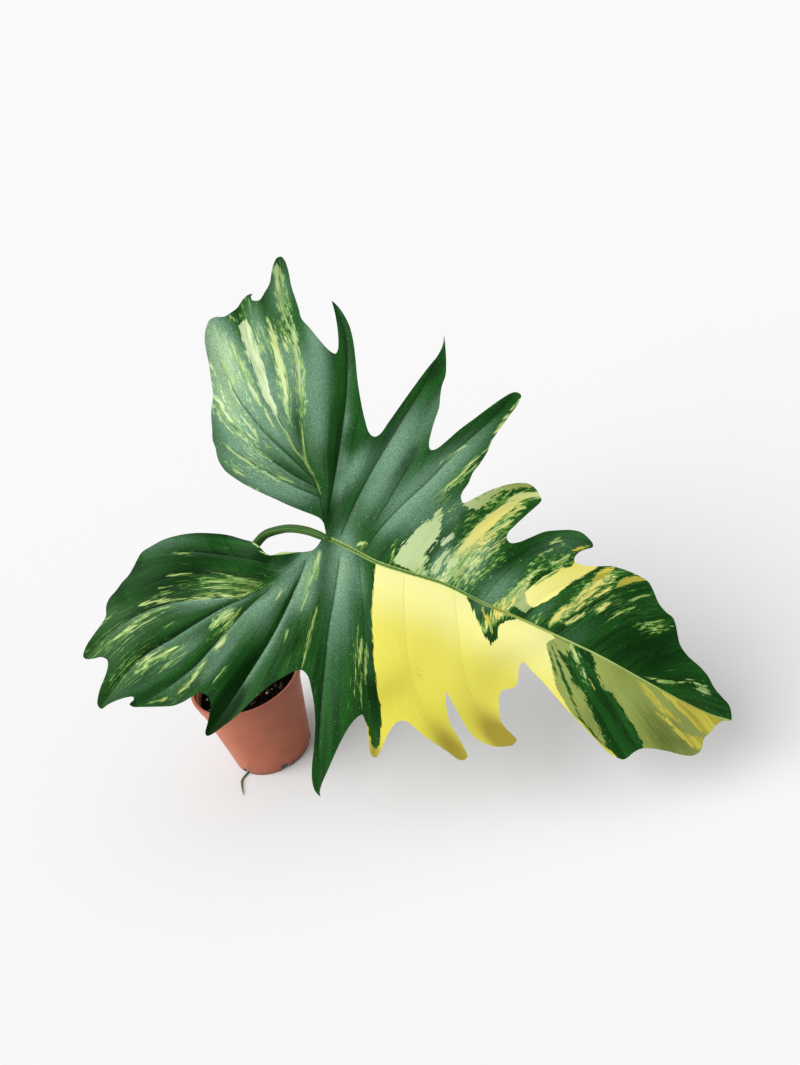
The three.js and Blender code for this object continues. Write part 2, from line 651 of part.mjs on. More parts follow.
// Sheathed tip of the next leaf, beside the stalk on top of the stem
function makeGrowingTip() {
  const curve = curveThrough([
    [-5.8, 1.5, STEM_TOP + GAP], [-5.9, 1.6, STEM_TOP + TIP_LENGTH * 0.3],
    [-7.2, 2.2, STEM_TOP + TIP_LENGTH * 0.7], [-10.5, 3.4, STEM_TOP + TIP_LENGTH],
  ]);
  const radii = [0.96, 1, 0.84, 0.56, 0.16].map((share) => share * TIP_RADIUS);
  return namedMesh('growing_tip', tubeGeometry(curve, radii, 12, 10), material('#7d8f45', 0.5));
}

// Leaf stalk, from the top of the stem, up, over and forward to the blade
const PETIOLE_PATH = [
  [3.4, 0, STEM_TOP + GAP], [3.4, 0, 124], [9.5, 2, 158], [27, 5.5, 193], [43.5, 7, 215.5],
  [51.7, 6.3, 222.8], [61.9, 1.8, 231.2], [76.8, -6.5, 236.7], [86.8, -15.5, 240], [101.4, -31, 242.2],
  [113.6, -41.8, 239.2],
];

function makePetiole() {
  const curve = curveThrough(PETIOLE_PATH);
  const radii = [PETIOLE_BASE_RADIUS, PETIOLE_BASE_RADIUS * 0.85, 4.3, 3.9, PETIOLE_RADIUS, PETIOLE_RADIUS];
  return namedMesh('petiole', tubeGeometry(curve, radii, 40, 12), material('#5f7f3a', 0.4));
}

// Leaf blade

function makeBlade() {
  const outline = linePoints(Object.values(BLADE_EDGE).flat(), EDGE_STEP, true);
  const points = bladeMeshPoints(outline);
  const isOnBlade = ([a, b, c]) => {
    const x = (points[a][0] + points[b][0] + points[c][0]) / 3;
    const y = (points[a][1] + points[b][1] + points[c][1]) / 3;
    return isInside(outline, x, y);
  };
  const front = points.map(([x, y]) => bladePoint(x, y));
  const triangles = triangulate(points).filter(isOnBlade).map(([a, b, c]) => {
    const turn = (points[b][0] - points[a][0]) * (points[c][1] - points[a][1])
      - (points[b][1] - points[a][1]) * (points[c][0] - points[a][0]);
    return turn < 0 ? [a, b, c] : [a, c, b];
  });
  const thicknesses = points.map(([x, y]) => bladeThickness(x, y));
  return namedMesh('leaf_blade', sheetGeometry(front, triangles, thicknesses), material('#2f6b38', 0.4));
}

// Potting mix

// A random place on the mix, clear of the stem and of the holes of its roots
function scatterOnSoil(random, innerRadius, outerRadius) {
  const holes = AERIAL_ROOTS.map(({ angle, reach }) => {
    const turn = THREE.MathUtils.degToRad(angle);
    return new THREE.Vector2(reach * Math.cos(turn), reach * Math.sin(turn));
  });
  const place = new THREE.Vector2();
  do {
    const angle = random() * 2 * Math.PI;
    const radius = Math.sqrt(THREE.MathUtils.lerp(innerRadius ** 2, outerRadius ** 2, random()));
    place.set(radius * Math.cos(angle), radius * Math.sin(angle));
  } while (holes.some((hole) => hole.distanceTo(place) < ROOT_HOLE_MARGIN));
  const height = SOIL_TOP + SOIL_MOUND * (1 - place.length() / POT_RIM_RADIUS);
  return new THREE.Vector3(place.x, place.y, height);
}

function makeSoil() {
  const bottom = POT_FLOOR + GAP;
  const rimHeight = SOIL_TOP - 1;
  const shoulder = potInnerRadius(rimHeight) - GAP;
  const profile = [
    [0, bottom], [potInnerRadius(bottom) - GAP, bottom], [shoulder, rimHeight],
    [shoulder - 3, SOIL_TOP], [0, SOIL_TOP + SOIL_MOUND],
  ];
  let soil = toSolid(turnedGeometry(profile, POT_SIDES));
  const random = makeRandom(GRAIN_SEED);
  const outerLimit = shoulder - 6;
  for (let grain = 0; grain < PERLITE_GRAINS; grain += 1) {
    const place = scatterOnSoil(random, STEM_RADIUS + 3, outerLimit);
    const grainGeometry = new THREE.IcosahedronGeometry(1.5 + 1.2 * random(), 0)
      .rotateX(random() * Math.PI)
      .rotateZ(random() * Math.PI)
      .translate(place.x, place.y, place.z + 0.2);
    soil = soil.add(toSolid(grainGeometry));
  }
  for (let chip = 0; chip < BARK_CHIPS; chip += 1) {
    const place = scatterOnSoil(random, STEM_RADIUS + 4, outerLimit);
    const chipGeometry = new THREE.BoxGeometry(6 + 4 * random(), 3 + 2 * random(), 3)
      .rotateX(0.5 * (random() - 0.5))
      .rotateZ(random() * Math.PI)
      .translate(place.x, place.y, place.z);
    soil = soil.add(toSolid(chipGeometry));
  }
  soil = soil.subtract(toSolid(cylinderGeometry(STEM_RADIUS + GAP, STEM_BOTTOM - GAP, POT_HEIGHT, 20)));
  for (const root of AERIAL_ROOTS) {
    const radius = AERIAL_ROOT_RADIUS + GAP;
    const curve = aerialRootCurve({ ...root, end: root.end - GAP });
    soil = soil.subtract(toSolid(tubeGeometry(curve, [radius * 1.2, radius], 10, 8)));
  }
  return namedMesh('soil', toGeometry(soil), material('#1e120c', 0.95));
}

// Root from a drain hole

const DRAIN_ROOT_PATH = [
  [-20.4, -24.3], [-22.5, -26.8], [-26, -31.2], [-30, -37], [-29.5, -46], [-27.6, -56],
];

function makeDrainRoot() {
  const height = DRAIN_ROOT_RADIUS + 0.1;
  const curve = curveThrough(DRAIN_ROOT_PATH.map(([x, y]) => [x, y, height]));
  const radii = [DRAIN_ROOT_RADIUS, DRAIN_ROOT_RADIUS, DRAIN_ROOT_RADIUS * 0.8, DRAIN_ROOT_RADIUS * 0.45];
  return namedMesh('drain_root', tubeGeometry(curve, radii, 24, 8), material('#4f5f3a', 0.7));
}

const group = new THREE.Group();
group.add(makePot());
group.add(makeSoil());
group.add(makeStem());
group.add(makeGrowingTip());
group.add(makePetiole());
group.add(makeBlade());
group.add(makeDrainRoot());

export default group;
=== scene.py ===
"""A potted hybrid philodendron: one large lobed, variegated leaf on an arching stalk, in a nursery pot.

Metres, +Z up. The leaf is set out on the picture plane of the camera, as in the part's source.
"""

import math

import bpy
import numpy as np
from mathutils import Euler, Matrix, Vector, geometry


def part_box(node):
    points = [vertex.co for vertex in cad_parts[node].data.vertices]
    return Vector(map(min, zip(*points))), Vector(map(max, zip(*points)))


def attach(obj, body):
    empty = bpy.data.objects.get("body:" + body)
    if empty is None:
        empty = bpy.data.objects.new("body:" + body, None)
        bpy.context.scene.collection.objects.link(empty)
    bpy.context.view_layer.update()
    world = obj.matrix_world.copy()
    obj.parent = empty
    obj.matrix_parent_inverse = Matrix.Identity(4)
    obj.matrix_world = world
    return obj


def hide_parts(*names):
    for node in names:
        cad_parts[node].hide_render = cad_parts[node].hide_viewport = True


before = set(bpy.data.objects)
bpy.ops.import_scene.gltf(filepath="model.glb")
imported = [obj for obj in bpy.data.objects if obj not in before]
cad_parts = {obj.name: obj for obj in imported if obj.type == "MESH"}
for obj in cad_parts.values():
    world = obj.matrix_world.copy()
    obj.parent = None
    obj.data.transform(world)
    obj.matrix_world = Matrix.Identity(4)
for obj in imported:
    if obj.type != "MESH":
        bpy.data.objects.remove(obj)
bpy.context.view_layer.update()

MM = 0.001

# Camera, by which the leaf is set out
PICTURE_SIZE = (800, 1065)
PICTURE_FOCAL = 800
SENSOR = 36
LOOK_DOWN = math.radians(30)
LOOK_ROLL = math.radians(14)
RIM_CENTRE_PIXEL = (245, 676)
RIM_CENTRE_DISTANCE = 750 * MM

# Pot
POT_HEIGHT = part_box("pot")[1].z
POT_RIM_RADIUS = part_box("pot")[1].x
POT_BASE_RADIUS = 38 * MM
POT_WALL = 1.6 * MM
POT_FLOOR = 2 * MM
POT_COLLAR_DEPTH = 10 * MM
POT_COLLAR_STEP = 1.4 * MM
POT_LIP = 1.6 * MM
POT_LIP_DEPTH = 2.4 * MM
POT_SIDES = 128
DRAIN_HOLES = 6
DRAIN_HOLE_RADIUS = 5 * MM
DRAIN_HOLE_HEIGHT = 6 * MM
DRAIN_CIRCLE_RADIUS = 35 * MM
DRAIN_FIRST_ANGLE = 230

# Potting mix
GAP = 0.3 * MM
SOIL_TOP = 79 * MM
SOIL_MOUND = 2 * MM
SOIL_RINGS = 46
SOIL_SIDES = 192
CLOD_SIZE = 6 * MM
CLOD_HEIGHT = 2.6 * MM
CRUMB_SIZE = 2 * MM
CRUMB_HEIGHT = 1.6 * MM

# Loose bits on the mix: how far they lean, how much each is stretched or squeezed, and a chip's shape
LOOSE_TILT = 0.35
LOOSE_STRETCH = (0.75, 1.25)
CHIP_SHAPE = (1, 0.5, 0.22)

# Stem, roots and growing tip
STEM_RADIUS = 10 * MM
STEM_BOTTOM = 42 * MM
STEM_TOP = 116 * MM
STEM_RING_SPACING = 9 * MM
STEM_RING_RELIEF = 0.9 * MM
STEM_SCARS = 4
STEM_SCAR_WIDTH = 1.1 * MM
STEM_SCAR_UNEVENNESS = 0.25
STEM_SCAR_LEAN = 0.2
AERIAL_ROOT_RADIUS = 1.7 * MM
TIP_LENGTH = 38 * MM
TIP_RADIUS = 2.5 * MM
DRAIN_ROOT_RADIUS = 0.9 * MM
DRAIN_ROOT_PATH = [(-20.4, -24.3), (-22.5, -26.8), (-26, -31.2), (-30, -37), (-29.5, -46), (-27.6, -56)]

# Each aerial root: its angle, the height where it starts, its reach from the axis and its lowest point
AERIAL_ROOTS = [
    (20, 100 * MM, 17 * MM, 70 * MM), (150, 94 * MM, 19 * MM, 68 * MM), (265, 104 * MM, 21 * MM, 70 * MM),
]

# Leaf stalk
PETIOLE_PATH = [tuple(number * MM for number in place) for place in (
    (3.4, 0, 115), (3.4, 0, 124), (9.5, 2, 158), (27, 5.5, 193), (43.5, 7, 215.5), (51.7, 6.3, 222.8),
    (61.9, 1.8, 231.2), (76.8, -6.5, 236.7), (86.8, -15.5, 240), (101.4, -31, 242.2), (113.6, -41.8, 239.2))]
PETIOLE_RADII = [
    number * MM for number in (5.8, 5.4, 4.95, 4.64, 4.33, 4.12, 3.92, 3.72, 3.52, 3.5, 3.3, 1.2)]

# Where the stalk's end sinks into the blade along the midrib: picture plane, and mm behind the blade's face
STALK_END = [(328.5, 538.8, 1.3), (334, 541.2, 3.0), (341, 544.5, 4.2)]

# Leaf blade: real sizes
BLADE_THICKNESS = 0.7 * MM
BLADE_EDGE_THICKNESS = 0.4 * MM
BLADE_DISTANCE = 640 * MM
BLADE_LEAN = math.radians(40)
MIDRIB_THICKNESS = 6 * MM
VEIN_GROOVE = 3.6 * MM
VEIN_THICKNESS = 0.7 * MM
CREST_STEP = 16 * MM
EDGE_ROLL = 9 * MM

# Leaf blade: the length of one unit of the picture plane on it, and its sizes in such units
PICTURE_UNIT = BLADE_DISTANCE / PICTURE_FOCAL
MIDRIB_HALF_WIDTH = 3.6
MIDRIB_TAPER = 0.8
MIDRIB_SLIMMING = 0.75
MIDRIB_SLIMS_BETWEEN = (320, 730)
MIDRIB_GROOVE_WIDTH = 0.9
MIDRIB_GROOVE_FADES_BETWEEN = (440, 600)
VEIN_HALF_WIDTH = 1.8
VEIN_GROOVE_WIDTH = 12
VEIN_GROOVE_SOFTNESS = 0.14
EDGE_TAPER = 8
VEIN_TAPER = 12
CREST_RAMP = 4
CREST_REACH = 70
EDGE_ROLL_WIDTH = 6
SHAPE_RADIUS = 26
BLADE_MESH_STEP = 2.0
LINE_STEP = 6
PATTERN_REACH = 14
STREAK_FULLNESS = 2.5
VEIN_OVERRUN = 8
# How far a fold's painted light and shade reach, and the least painted shade of a vein's crease line
FOLD_REACH = 6.5
LEAST_CREASE_SHADE = 0.5

# Shares of a vein's length between which its painted fold rises and fades, and its painted crease line fades
FOLD_RISES = (0, 0.12)
FOLD_FADES = (0.55, 1)
VEIN_LINE_FADES = (0.7, 1)

# Streaks whose half width is less than this get mesh points of their own
THIN_STREAK = 2

# A tone's oval along and across the vein, as shares of its radius
TONE_OVAL = (1.7, 0.62)

# Finish: cells of the skin, as coarse as they need to be to show, and the skin's refractive index
CELL_SIZE = 1.2 * MM
SKIN_IOR = 1.45

# Studio
FLOOR_SIZE = 200
WORLD_STRENGTH = 0.95
PAPER_SHARE = 0.5
KEY_DIRECTION = (-1.0, -0.35, 0.75)
KEY_SPREAD = 60


# Leaf blade on the picture plane

# Edge, clockwise from the stalk, lobe by lobe
BLADE_EDGE = {
    "upper_basal_lobe": [
        (325.6, 534), (325, 529), (323.5, 523), (319.5, 518), (313, 514.8), (303, 511), (290, 505.8),
        (275, 499), (260, 492.2), (247, 485.8), (236, 479), (226, 471.5), (220, 463.5), (217, 456),
        (215.5, 448), (212.6, 440), (212.2, 430), (211.2, 418), (211.6, 406), (213.1, 396), (211.4, 382),
        (208.8, 364), (206, 350), (204.6, 338), (206, 328), (210, 319.5), (216, 316.9), (224, 316.6),
        (231, 312.5), (237, 308), (242, 300.5), (247, 295.3), (250.5, 294), (252.4, 293.7), (250.9, 296.2),
        (252.2, 300), (259, 300.2), (264.5, 292.5), (269.5, 283.5), (271.6, 272), (274.3, 262),
        (277.5, 257.3), (281.5, 256.7), (284.8, 260.5), (288.5, 272), (291, 285), (295, 297.5),
        (298.6, 308.5), (301.5, 318.5), (309, 327), (318, 338), (327, 348.3), (333, 353),
    ],
    "first_lobe": [
        (335.6, 353.6), (338, 349), (338.4, 340), (337.3, 327), (334.8, 312), (333, 305.5), (331.8, 301),
        (337, 305.3), (343.5, 314), (349.5, 326), (353, 340), (355.3, 357), (357.5, 380), (361, 402),
        (365, 420), (368.5, 431.5), (372, 435.8),
    ],
    "second_lobe": [
        (376, 436.5), (381, 433), (388, 423), (400, 406), (415, 385), (428, 367.5), (437, 356.5), (442, 347),
        (443.6, 341), (443.9, 335), (445.2, 345), (446.2, 362), (445.6, 375), (442, 385.5), (440.2, 397),
        (439.2, 407), (434.5, 421), (430.8, 434), (429, 445),
    ],
    "third_lobe": [
        (430.6, 449.8), (436, 449), (447, 440.5), (459, 430), (474, 418.8), (490, 406.8), (504, 397),
        (512, 392.7), (517, 392.2), (521.2, 395.2), (518, 403.5), (509, 416.5), (498, 431.5), (491.5, 441.5),
        (487.5, 451.5), (480, 463.5), (473, 472.5), (468.5, 483), (463, 491), (461, 497),
    ],
    "fourth_lobe": [
        (463.2, 503), (471, 500), (483, 493.5), (494, 488.7), (508, 484.5), (519, 483), (529, 484),
        (535, 488), (540.5, 497), (541.5, 500.5), (537, 505.5), (527, 514.3), (515, 525.5), (508.3, 532.5),
        (506.8, 538),
    ],
    "fifth_lobe": [
        (510, 542.7), (518, 542.3), (530, 537.6), (545, 531.6), (558, 530.2), (572, 530), (581, 532.2),
        (588, 537.5), (593, 544), (592.8, 547), (586, 549.2), (579, 552.4), (574.3, 558.5),
    ],
    "leaf_tip": [
        (575.5, 562.3), (583, 565.4), (598, 566.2), (612, 566.3), (626, 570.2), (640, 576.3), (648.5, 582),
        (653.5, 591), (659, 603.5), (666, 612), (673, 617.7), (675.7, 624.5), (677.6, 634), (680.3, 645),
        (688, 656), (700, 666.7), (708, 676), (714.5, 688), (723, 698), (729.3, 705.5), (731.6, 716),
        (731, 720.9), (725, 720.3), (718, 723.8), (710, 732.5), (703.6, 739.3), (702.6, 746), (699.5, 752),
        (693, 755.5), (684, 755.3), (668, 751.3), (652, 748.6), (641, 748.8),
    ],
    "sixth_lobe": [
        (634, 752.2), (628, 757.3), (623.5, 759.5), (617, 757.6), (609, 753), (598, 742), (585, 728.5),
        (570, 713), (556, 697), (541, 680), (530, 669), (523.3, 662),
    ],
    "seventh_lobe": [
        (519.2, 666), (518.3, 678), (515.7, 686.2), (510, 688.6), (502.5, 690.2), (499.4, 695.5), (499, 708),
        (500.5, 720), (507, 729.5), (513.5, 735.8), (516.7, 739.5), (513.5, 744.7), (505, 746.5),
        (494, 746.3), (483, 742.5), (472, 734.8), (465, 725), (456, 709), (449.5, 697.3), (446.5, 692.3),
    ],
    "eighth_lobe": [
        (445.6, 700), (447.3, 712), (451, 726), (458, 736.5), (464.5, 748.5), (467.6, 756), (464.5, 759.9),
        (459, 759.7), (447, 751.3), (432, 741.5), (420, 732.5), (409, 722.8), (402, 720.6),
    ],
    "ninth_lobe": [
        (396, 723), (389.5, 731.5), (384, 743), (379.5, 753), (375.3, 757.6), (371, 754.5), (369, 744),
        (367.5, 729), (364.5, 719), (362, 714.6),
    ],
    "tenth_lobe": [
        (358, 716.6), (350, 725.5), (340, 743), (329, 767.5), (321.5, 784.5), (319.6, 793), (320.5, 796.6),
        (315, 791), (312, 780), (312, 766), (313.9, 747), (315.2, 725), (314.2, 706), (311.3, 689),
        (307.5, 675.5), (301.5, 670),
    ],
    "eleventh_lobe": [
        (295, 671), (285, 676), (274, 682.5), (262, 691.5), (248, 704.5), (236, 716.5), (224, 725.5),
        (213, 733.5), (207, 735.9), (205.3, 733.5), (208, 721), (210.4, 708), (210, 700), (205.5, 694.3),
        (200.5, 692.9),
    ],
    "lower_basal_lobe": [
        (193, 696), (184, 701.5), (173, 705.8), (160, 706.6), (143, 707), (133, 706.8), (129.7, 704.6),
        (134, 699.5), (133, 696.9), (127, 697.3), (117, 700.3), (108, 704.3), (101, 708.8), (97.6, 705),
        (97.8, 697.5), (100.8, 686.5), (105.5, 675), (107.9, 665), (107, 659.7), (101, 657.1), (92, 658.8),
        (85.5, 658.8), (83.2, 656.5), (86, 646.5), (93, 635.5), (101, 624.5), (105.8, 616.5), (106.1, 606.5),
        (109, 598.8), (116.5, 590), (122, 582.3), (128.5, 575.3), (134, 566), (138.3, 557.5), (142, 552),
        (151, 546.3), (163, 539.8), (178, 535.3), (195, 533), (212, 533.2), (228, 535), (242, 539),
        (253, 542.2), (259.5, 547), (265, 552.5), (270.5, 555.3), (276, 553.8), (283, 551.9), (297, 552.3),
        (308, 551.3), (313.5, 549.5), (318, 545), (320.9, 540.3),
    ],
}

MIDRIB = [
    (324.5, 537), (351, 549), (376, 562), (406, 572), (444.5, 584), (483, 603), (516, 617), (551, 633),
    (600, 656), (640, 678), (680, 700), (712, 715), (729, 720),
]

# Line through the notch at the stalk and along the midrib that parts the blade's two halves
PARTING = [(60, 490), (270, 528), *MIDRIB, (800, 745)]

# Main veins above that line, clockwise, each from its root to its tip
UPPER_VEINS = [
    [(321, 497), (300, 489), (276, 477), (250, 462), (228, 445)],
    [(317, 487), (295, 476), (270, 459), (248, 441), (228, 419), (216, 398)],
    [(312, 478), (290, 457), (266, 434), (247, 411), (232, 388), (219, 350)],
    [(307, 463), (290, 440), (278, 416), (268, 394), (257, 365), (247, 335), (241, 308)],
    [(325, 530), (320.5, 500), (315, 481), (307, 464), (303, 440), (301.5, 401), (298, 355), (287, 315),
     (280, 262)],
    [(328, 513), (335, 475), (342, 430), (346, 395), (347, 360), (345, 335), (336, 308)],
    [(341, 534), (355, 503), (370, 474), (384, 450), (402, 420), (422, 388), (436, 362), (443, 343)],
    [(376, 520), (392, 494), (404, 474), (417, 452)],
    [(366, 546), (384, 524), (402, 505), (426, 483), (447, 461), (468, 440), (490, 421), (514, 398)],
    [(436, 580), (452, 556), (472, 534), (497, 516), (520, 503), (537, 499)],
    [(482, 601), (500, 578), (520, 561), (545, 548), (570, 541), (590, 545)],
    [(523, 617), (545, 596), (570, 582), (592, 572), (610, 568)],
    [(556, 633), (578, 618), (600, 600), (625, 588), (646, 583)],
    [(590, 650), (612, 636), (640, 623), (671, 619)],
    [(628, 669), (650, 655), (677, 645)],
    [(648, 681), (672, 680), (695, 682), (714, 689)],
]

# Main veins below it, anticlockwise
LOWER_VEINS = [
    [(268, 562), (232, 556), (200, 552), (165, 553), (143, 558)],
    [(262, 577), (232, 575), (200, 573), (170, 577), (125, 594)],
    [(245, 595), (214, 598), (185, 600.5), (160, 606), (132, 618), (108, 636), (87, 655)],
    [(262, 588), (245, 598), (226, 606), (200, 621), (170, 640), (145, 655), (122, 678), (102, 705)],
    [(268, 590), (250, 606), (232, 625), (213, 646), (196, 665), (172, 684), (148, 698), (132, 704)],
    [(305, 562), (299, 580), (287, 607), (270, 640), (250, 672), (230, 702), (209, 732)],
    [(339, 560), (335, 590), (329, 625), (325, 660), (321, 700), (318, 745), (318, 788)],
    [(358, 556), (362, 600), (365, 640), (368, 680), (372, 715), (375, 753)],
    [(404, 576), (404, 612), (406, 645), (411, 675), (420, 702), (437, 730), (462, 757)],
    [(454, 591), (457, 623), (461, 656), (468, 685), (480, 710), (500, 730), (514, 741)],
    [(551, 634), (566, 660), (584, 690), (603, 722), (622, 756)],
    [(585, 650), (605, 680), (630, 715), (650, 746)],
    [(640, 679), (660, 703), (680, 727), (698, 750)],
    [(682, 702), (695, 714), (708, 730)],
]

# Veins that hardly show as valleys: the root of each and its share of the full depth
FAINT_VEINS = {
    (404, 576): 0.15, (454, 591): 0.15, (551, 634): 0.4, (585, 650): 0.3, (640, 679): 0.3, (682, 702): 0.3,
    (590, 650): 0.6, (628, 669): 0.6, (648, 681): 0.5, (436, 580): 0.4, (482, 601): 0.5, (523, 617): 0.4,
    (358, 556): 0.6,
}
VEIN_SHARES = np.array([0.7, *(FAINT_VEINS.get(vein[0], 1) for vein in (*UPPER_VEINS, *LOWER_VEINS))])

# Crisp folds in painted light and shade: each vein's root and how much lighter its clockwise side is than the
# other
VEIN_FOLDS = {
    (321, 497): -0.35, (317, 487): -0.4, (312, 478): -0.4, (328, 513): 0.45, (366, 546): 0.25,
    (341, 534): 0.15, (268, 562): -0.3, (262, 577): -0.25, (245, 595): -0.75, (262, 588): -0.8,
    (268, 590): -0.7, (305, 562): -0.75, (339, 560): -0.2,
}

# Line along which the front of the lower basal lobe stands forward of the part behind it
CREST = [(321, 541), (310, 552), (297, 565), (275, 580), (252, 592), (235, 600)]

# Margin that rolls under, from left to right
ROLLED_MARGIN = {"left": 124, "right": 176, "y": 706.5}

# How far the blade lies behind its own plane, in mm, at places on the picture plane
BLADE_SHAPE = [
    (325, 537, 0), (400, 540, -4), (450, 560, -4), (430, 500, -4), (500, 600, -4), (560, 600, -4),
    (620, 630, -2), (400, 620, -4), (460, 660, -2), (350, 600, -4), (350, 660, 0), (300, 620, -4),
    (250, 640, 0), (200, 620, 0), (180, 580, 6), (520, 560, -2), (380, 480, -2), (300, 470, 0),
    (260, 440, 6), (212, 400, 16), (205, 335, 20), (250, 300, 18), (280, 258, 24), (270, 350, 6),
    (318, 400, -4), (333, 370, -6), (328, 440, -6), (350, 400, 6), (345, 350, 8), (334, 303, 14),
    (362, 425, 6), (385, 440, -2), (410, 400, 2), (444, 337, 16), (437, 400, 8), (431, 447, 3),
    (450, 440, 0), (490, 405, 6), (520, 395, 14), (490, 440, 8), (463, 495, 3), (500, 490, 2),
    (540, 500, 12), (510, 535, 4), (560, 532, 5), (593, 545, 14), (575, 562, 4), (650, 590, 6),
    (700, 670, 10), (731, 718, 26), (700, 750, 22), (650, 745, 10), (660, 690, 4), (623, 758, 16),
    (560, 695, 4), (516, 740, 16), (500, 700, 6), (465, 757, 16), (430, 720, 6), (375, 755, 14),
    (319, 795, 22), (325, 730, 8), (207, 735, 14), (255, 690, 6), (101, 707, 18), (84, 656, 20),
    (140, 560, 18), (200, 535, 20), (130, 703, 16), (160, 640, 4), (230, 620, -4), (260, 595, -8),
    (290, 575, -8), (310, 560, -4),
]

# Patches of each colour on the blade, as outlines on the picture plane
PATCHES = {
    "sage": {
        "band_past_yellow": [
            (556, 637), (575, 646), (566, 655), (572, 682), (584, 692), (592, 712), (604, 738), (606, 750),
            (584, 733), (572, 721), (564, 712), (558, 702), (551, 688), (546, 672), (546, 660), (540, 643),
        ],
        "sector_at_tip": [
            (590, 651), (640, 678), (680, 700), (712, 715), (735, 722), (712, 770), (643, 752), (641, 741),
            (634, 727), (622, 708), (611, 694), (604, 690), (596, 672),
        ],
        "patch_above_midrib": [
            (394, 562), (402, 545), (410, 538), (418, 528), (424, 522), (432, 519), (437, 512), (441, 508),
            (444, 514), (440, 522), (441, 529), (438, 538), (434, 545), (430, 553), (427, 560), (424, 568),
            (428, 576), (418, 574), (406, 568),
        ],
        "second_patch_above_midrib": [
            (431, 571), (436, 562), (440, 555), (445, 551), (450, 548), (449, 556), (445, 562), (440, 570),
            (434, 575),
        ],
        "below_fourth_lobe": [
            (449, 556), (456, 547), (466, 543), (464, 553), (460, 560), (467, 568), (461, 577), (451, 577),
            (446, 569),
        ],
        "top_of_fourth_lobe": [
            (461, 504), (470, 499), (478, 495), (488, 490), (500, 486), (512, 483), (522, 482), (531, 484),
            (538, 489), (530, 488), (516, 488), (508, 490), (500, 493), (494, 496), (490, 500), (486, 506),
            (480, 508), (474, 510), (468, 507),
        ],
        "behind_band": [
            (514, 607), (517, 597), (522, 588), (528, 591), (532, 601), (531, 608), (524, 612),
        ],
    },
    "cream": {
        "main_stripe_of_upper_basal_lobe": [
            (238.5, 325), (241, 335), (244.5, 346), (248.5, 357), (252.5, 368), (257, 379), (261, 390),
            (266, 401), (272, 411), (279, 422), (275.5, 406), (271, 394), (267.5, 382), (264, 368),
            (260, 355), (255.5, 343), (251, 328), (247, 319),
        ],
        "blob_by_second_patch": [
            (439, 545), (443, 540), (448, 536), (455, 533), (454, 538), (449, 542), (443, 546),
        ],
    },
    "yellow": {
        "sector_below_midrib": [
            (376, 560), (406, 573), (444.5, 585), (483, 604), (516, 618), (551, 634), (556, 638), (550, 640),
            (546, 645), (549, 655), (552, 662), (552, 672), (557, 688), (565, 703), (572, 714), (580, 721),
            (592, 733), (604, 745), (620, 759), (612, 768), (560, 720), (523, 690), (530, 760), (440, 775),
            (400, 735), (380, 765), (374, 762), (379, 745), (380, 736), (381.5, 721), (380.6, 706),
            (377, 689), (374, 664), (373, 640), (371.5, 610), (374, 585),
        ],
        "margin_of_ninth_lobe": [
            (365.5, 722), (368, 728), (370.2, 738), (372.5, 746), (375, 750), (378.5, 746), (390, 760),
            (375, 775), (360, 770), (363, 732),
        ],
        "band_at_fifth_lobe": [
            (526, 601), (525, 592), (533, 585), (542, 577), (550, 573), (557, 569), (566, 567), (572, 566.5),
            (575, 560), (600, 564), (597, 568), (590, 572), (580, 578), (565, 587), (556, 595), (548, 601),
            (540, 604), (535, 608), (530, 606),
        ],
    },
    "gold": {
        "patch_behind_band": [
            (592, 583), (593, 578), (600, 572), (606, 568), (616, 567), (612, 571), (606, 575), (598, 582),
        ],
        "patch_at_shoulder": [
            (616, 588), (620, 581), (627, 578), (635, 575), (648, 579), (640, 581), (632, 582), (625, 585),
        ],
        "wedge_at_tip": [
            (656, 687), (670, 696), (690, 706), (705, 713), (724, 720), (717, 726), (708, 735), (697, 729),
            (686, 717), (672, 703), (663, 694),
        ],
        "patch_at_tip": [
            (672, 728), (680, 729), (690, 736), (704, 737), (703, 748), (697, 749), (690, 745), (682, 738),
        ],
        "streak_across_tip": [
            (636, 679), (645, 684), (655, 697), (665, 707), (681, 722), (684, 728), (664, 712), (648, 694),
        ],
    },
    "green": {
        "wedge_in_yellow": [
            (466, 596), (476, 616), (483, 633), (491, 645), (497.5, 639.5), (499, 626), (506, 621),
            (517, 619), (516, 612), (483, 598),
        ],
        "edge_of_sixth_lobe": [
            (600, 684), (606, 692), (612, 693), (622, 708), (634, 727), (641, 741), (643, 752), (622, 764),
            (612, 750), (606, 736), (600, 720), (594, 704), (592, 690),
        ],
        "under_midrib": [
            (580, 650), (593, 656), (595, 668), (590, 668), (586, 658),
        ],
    },
}

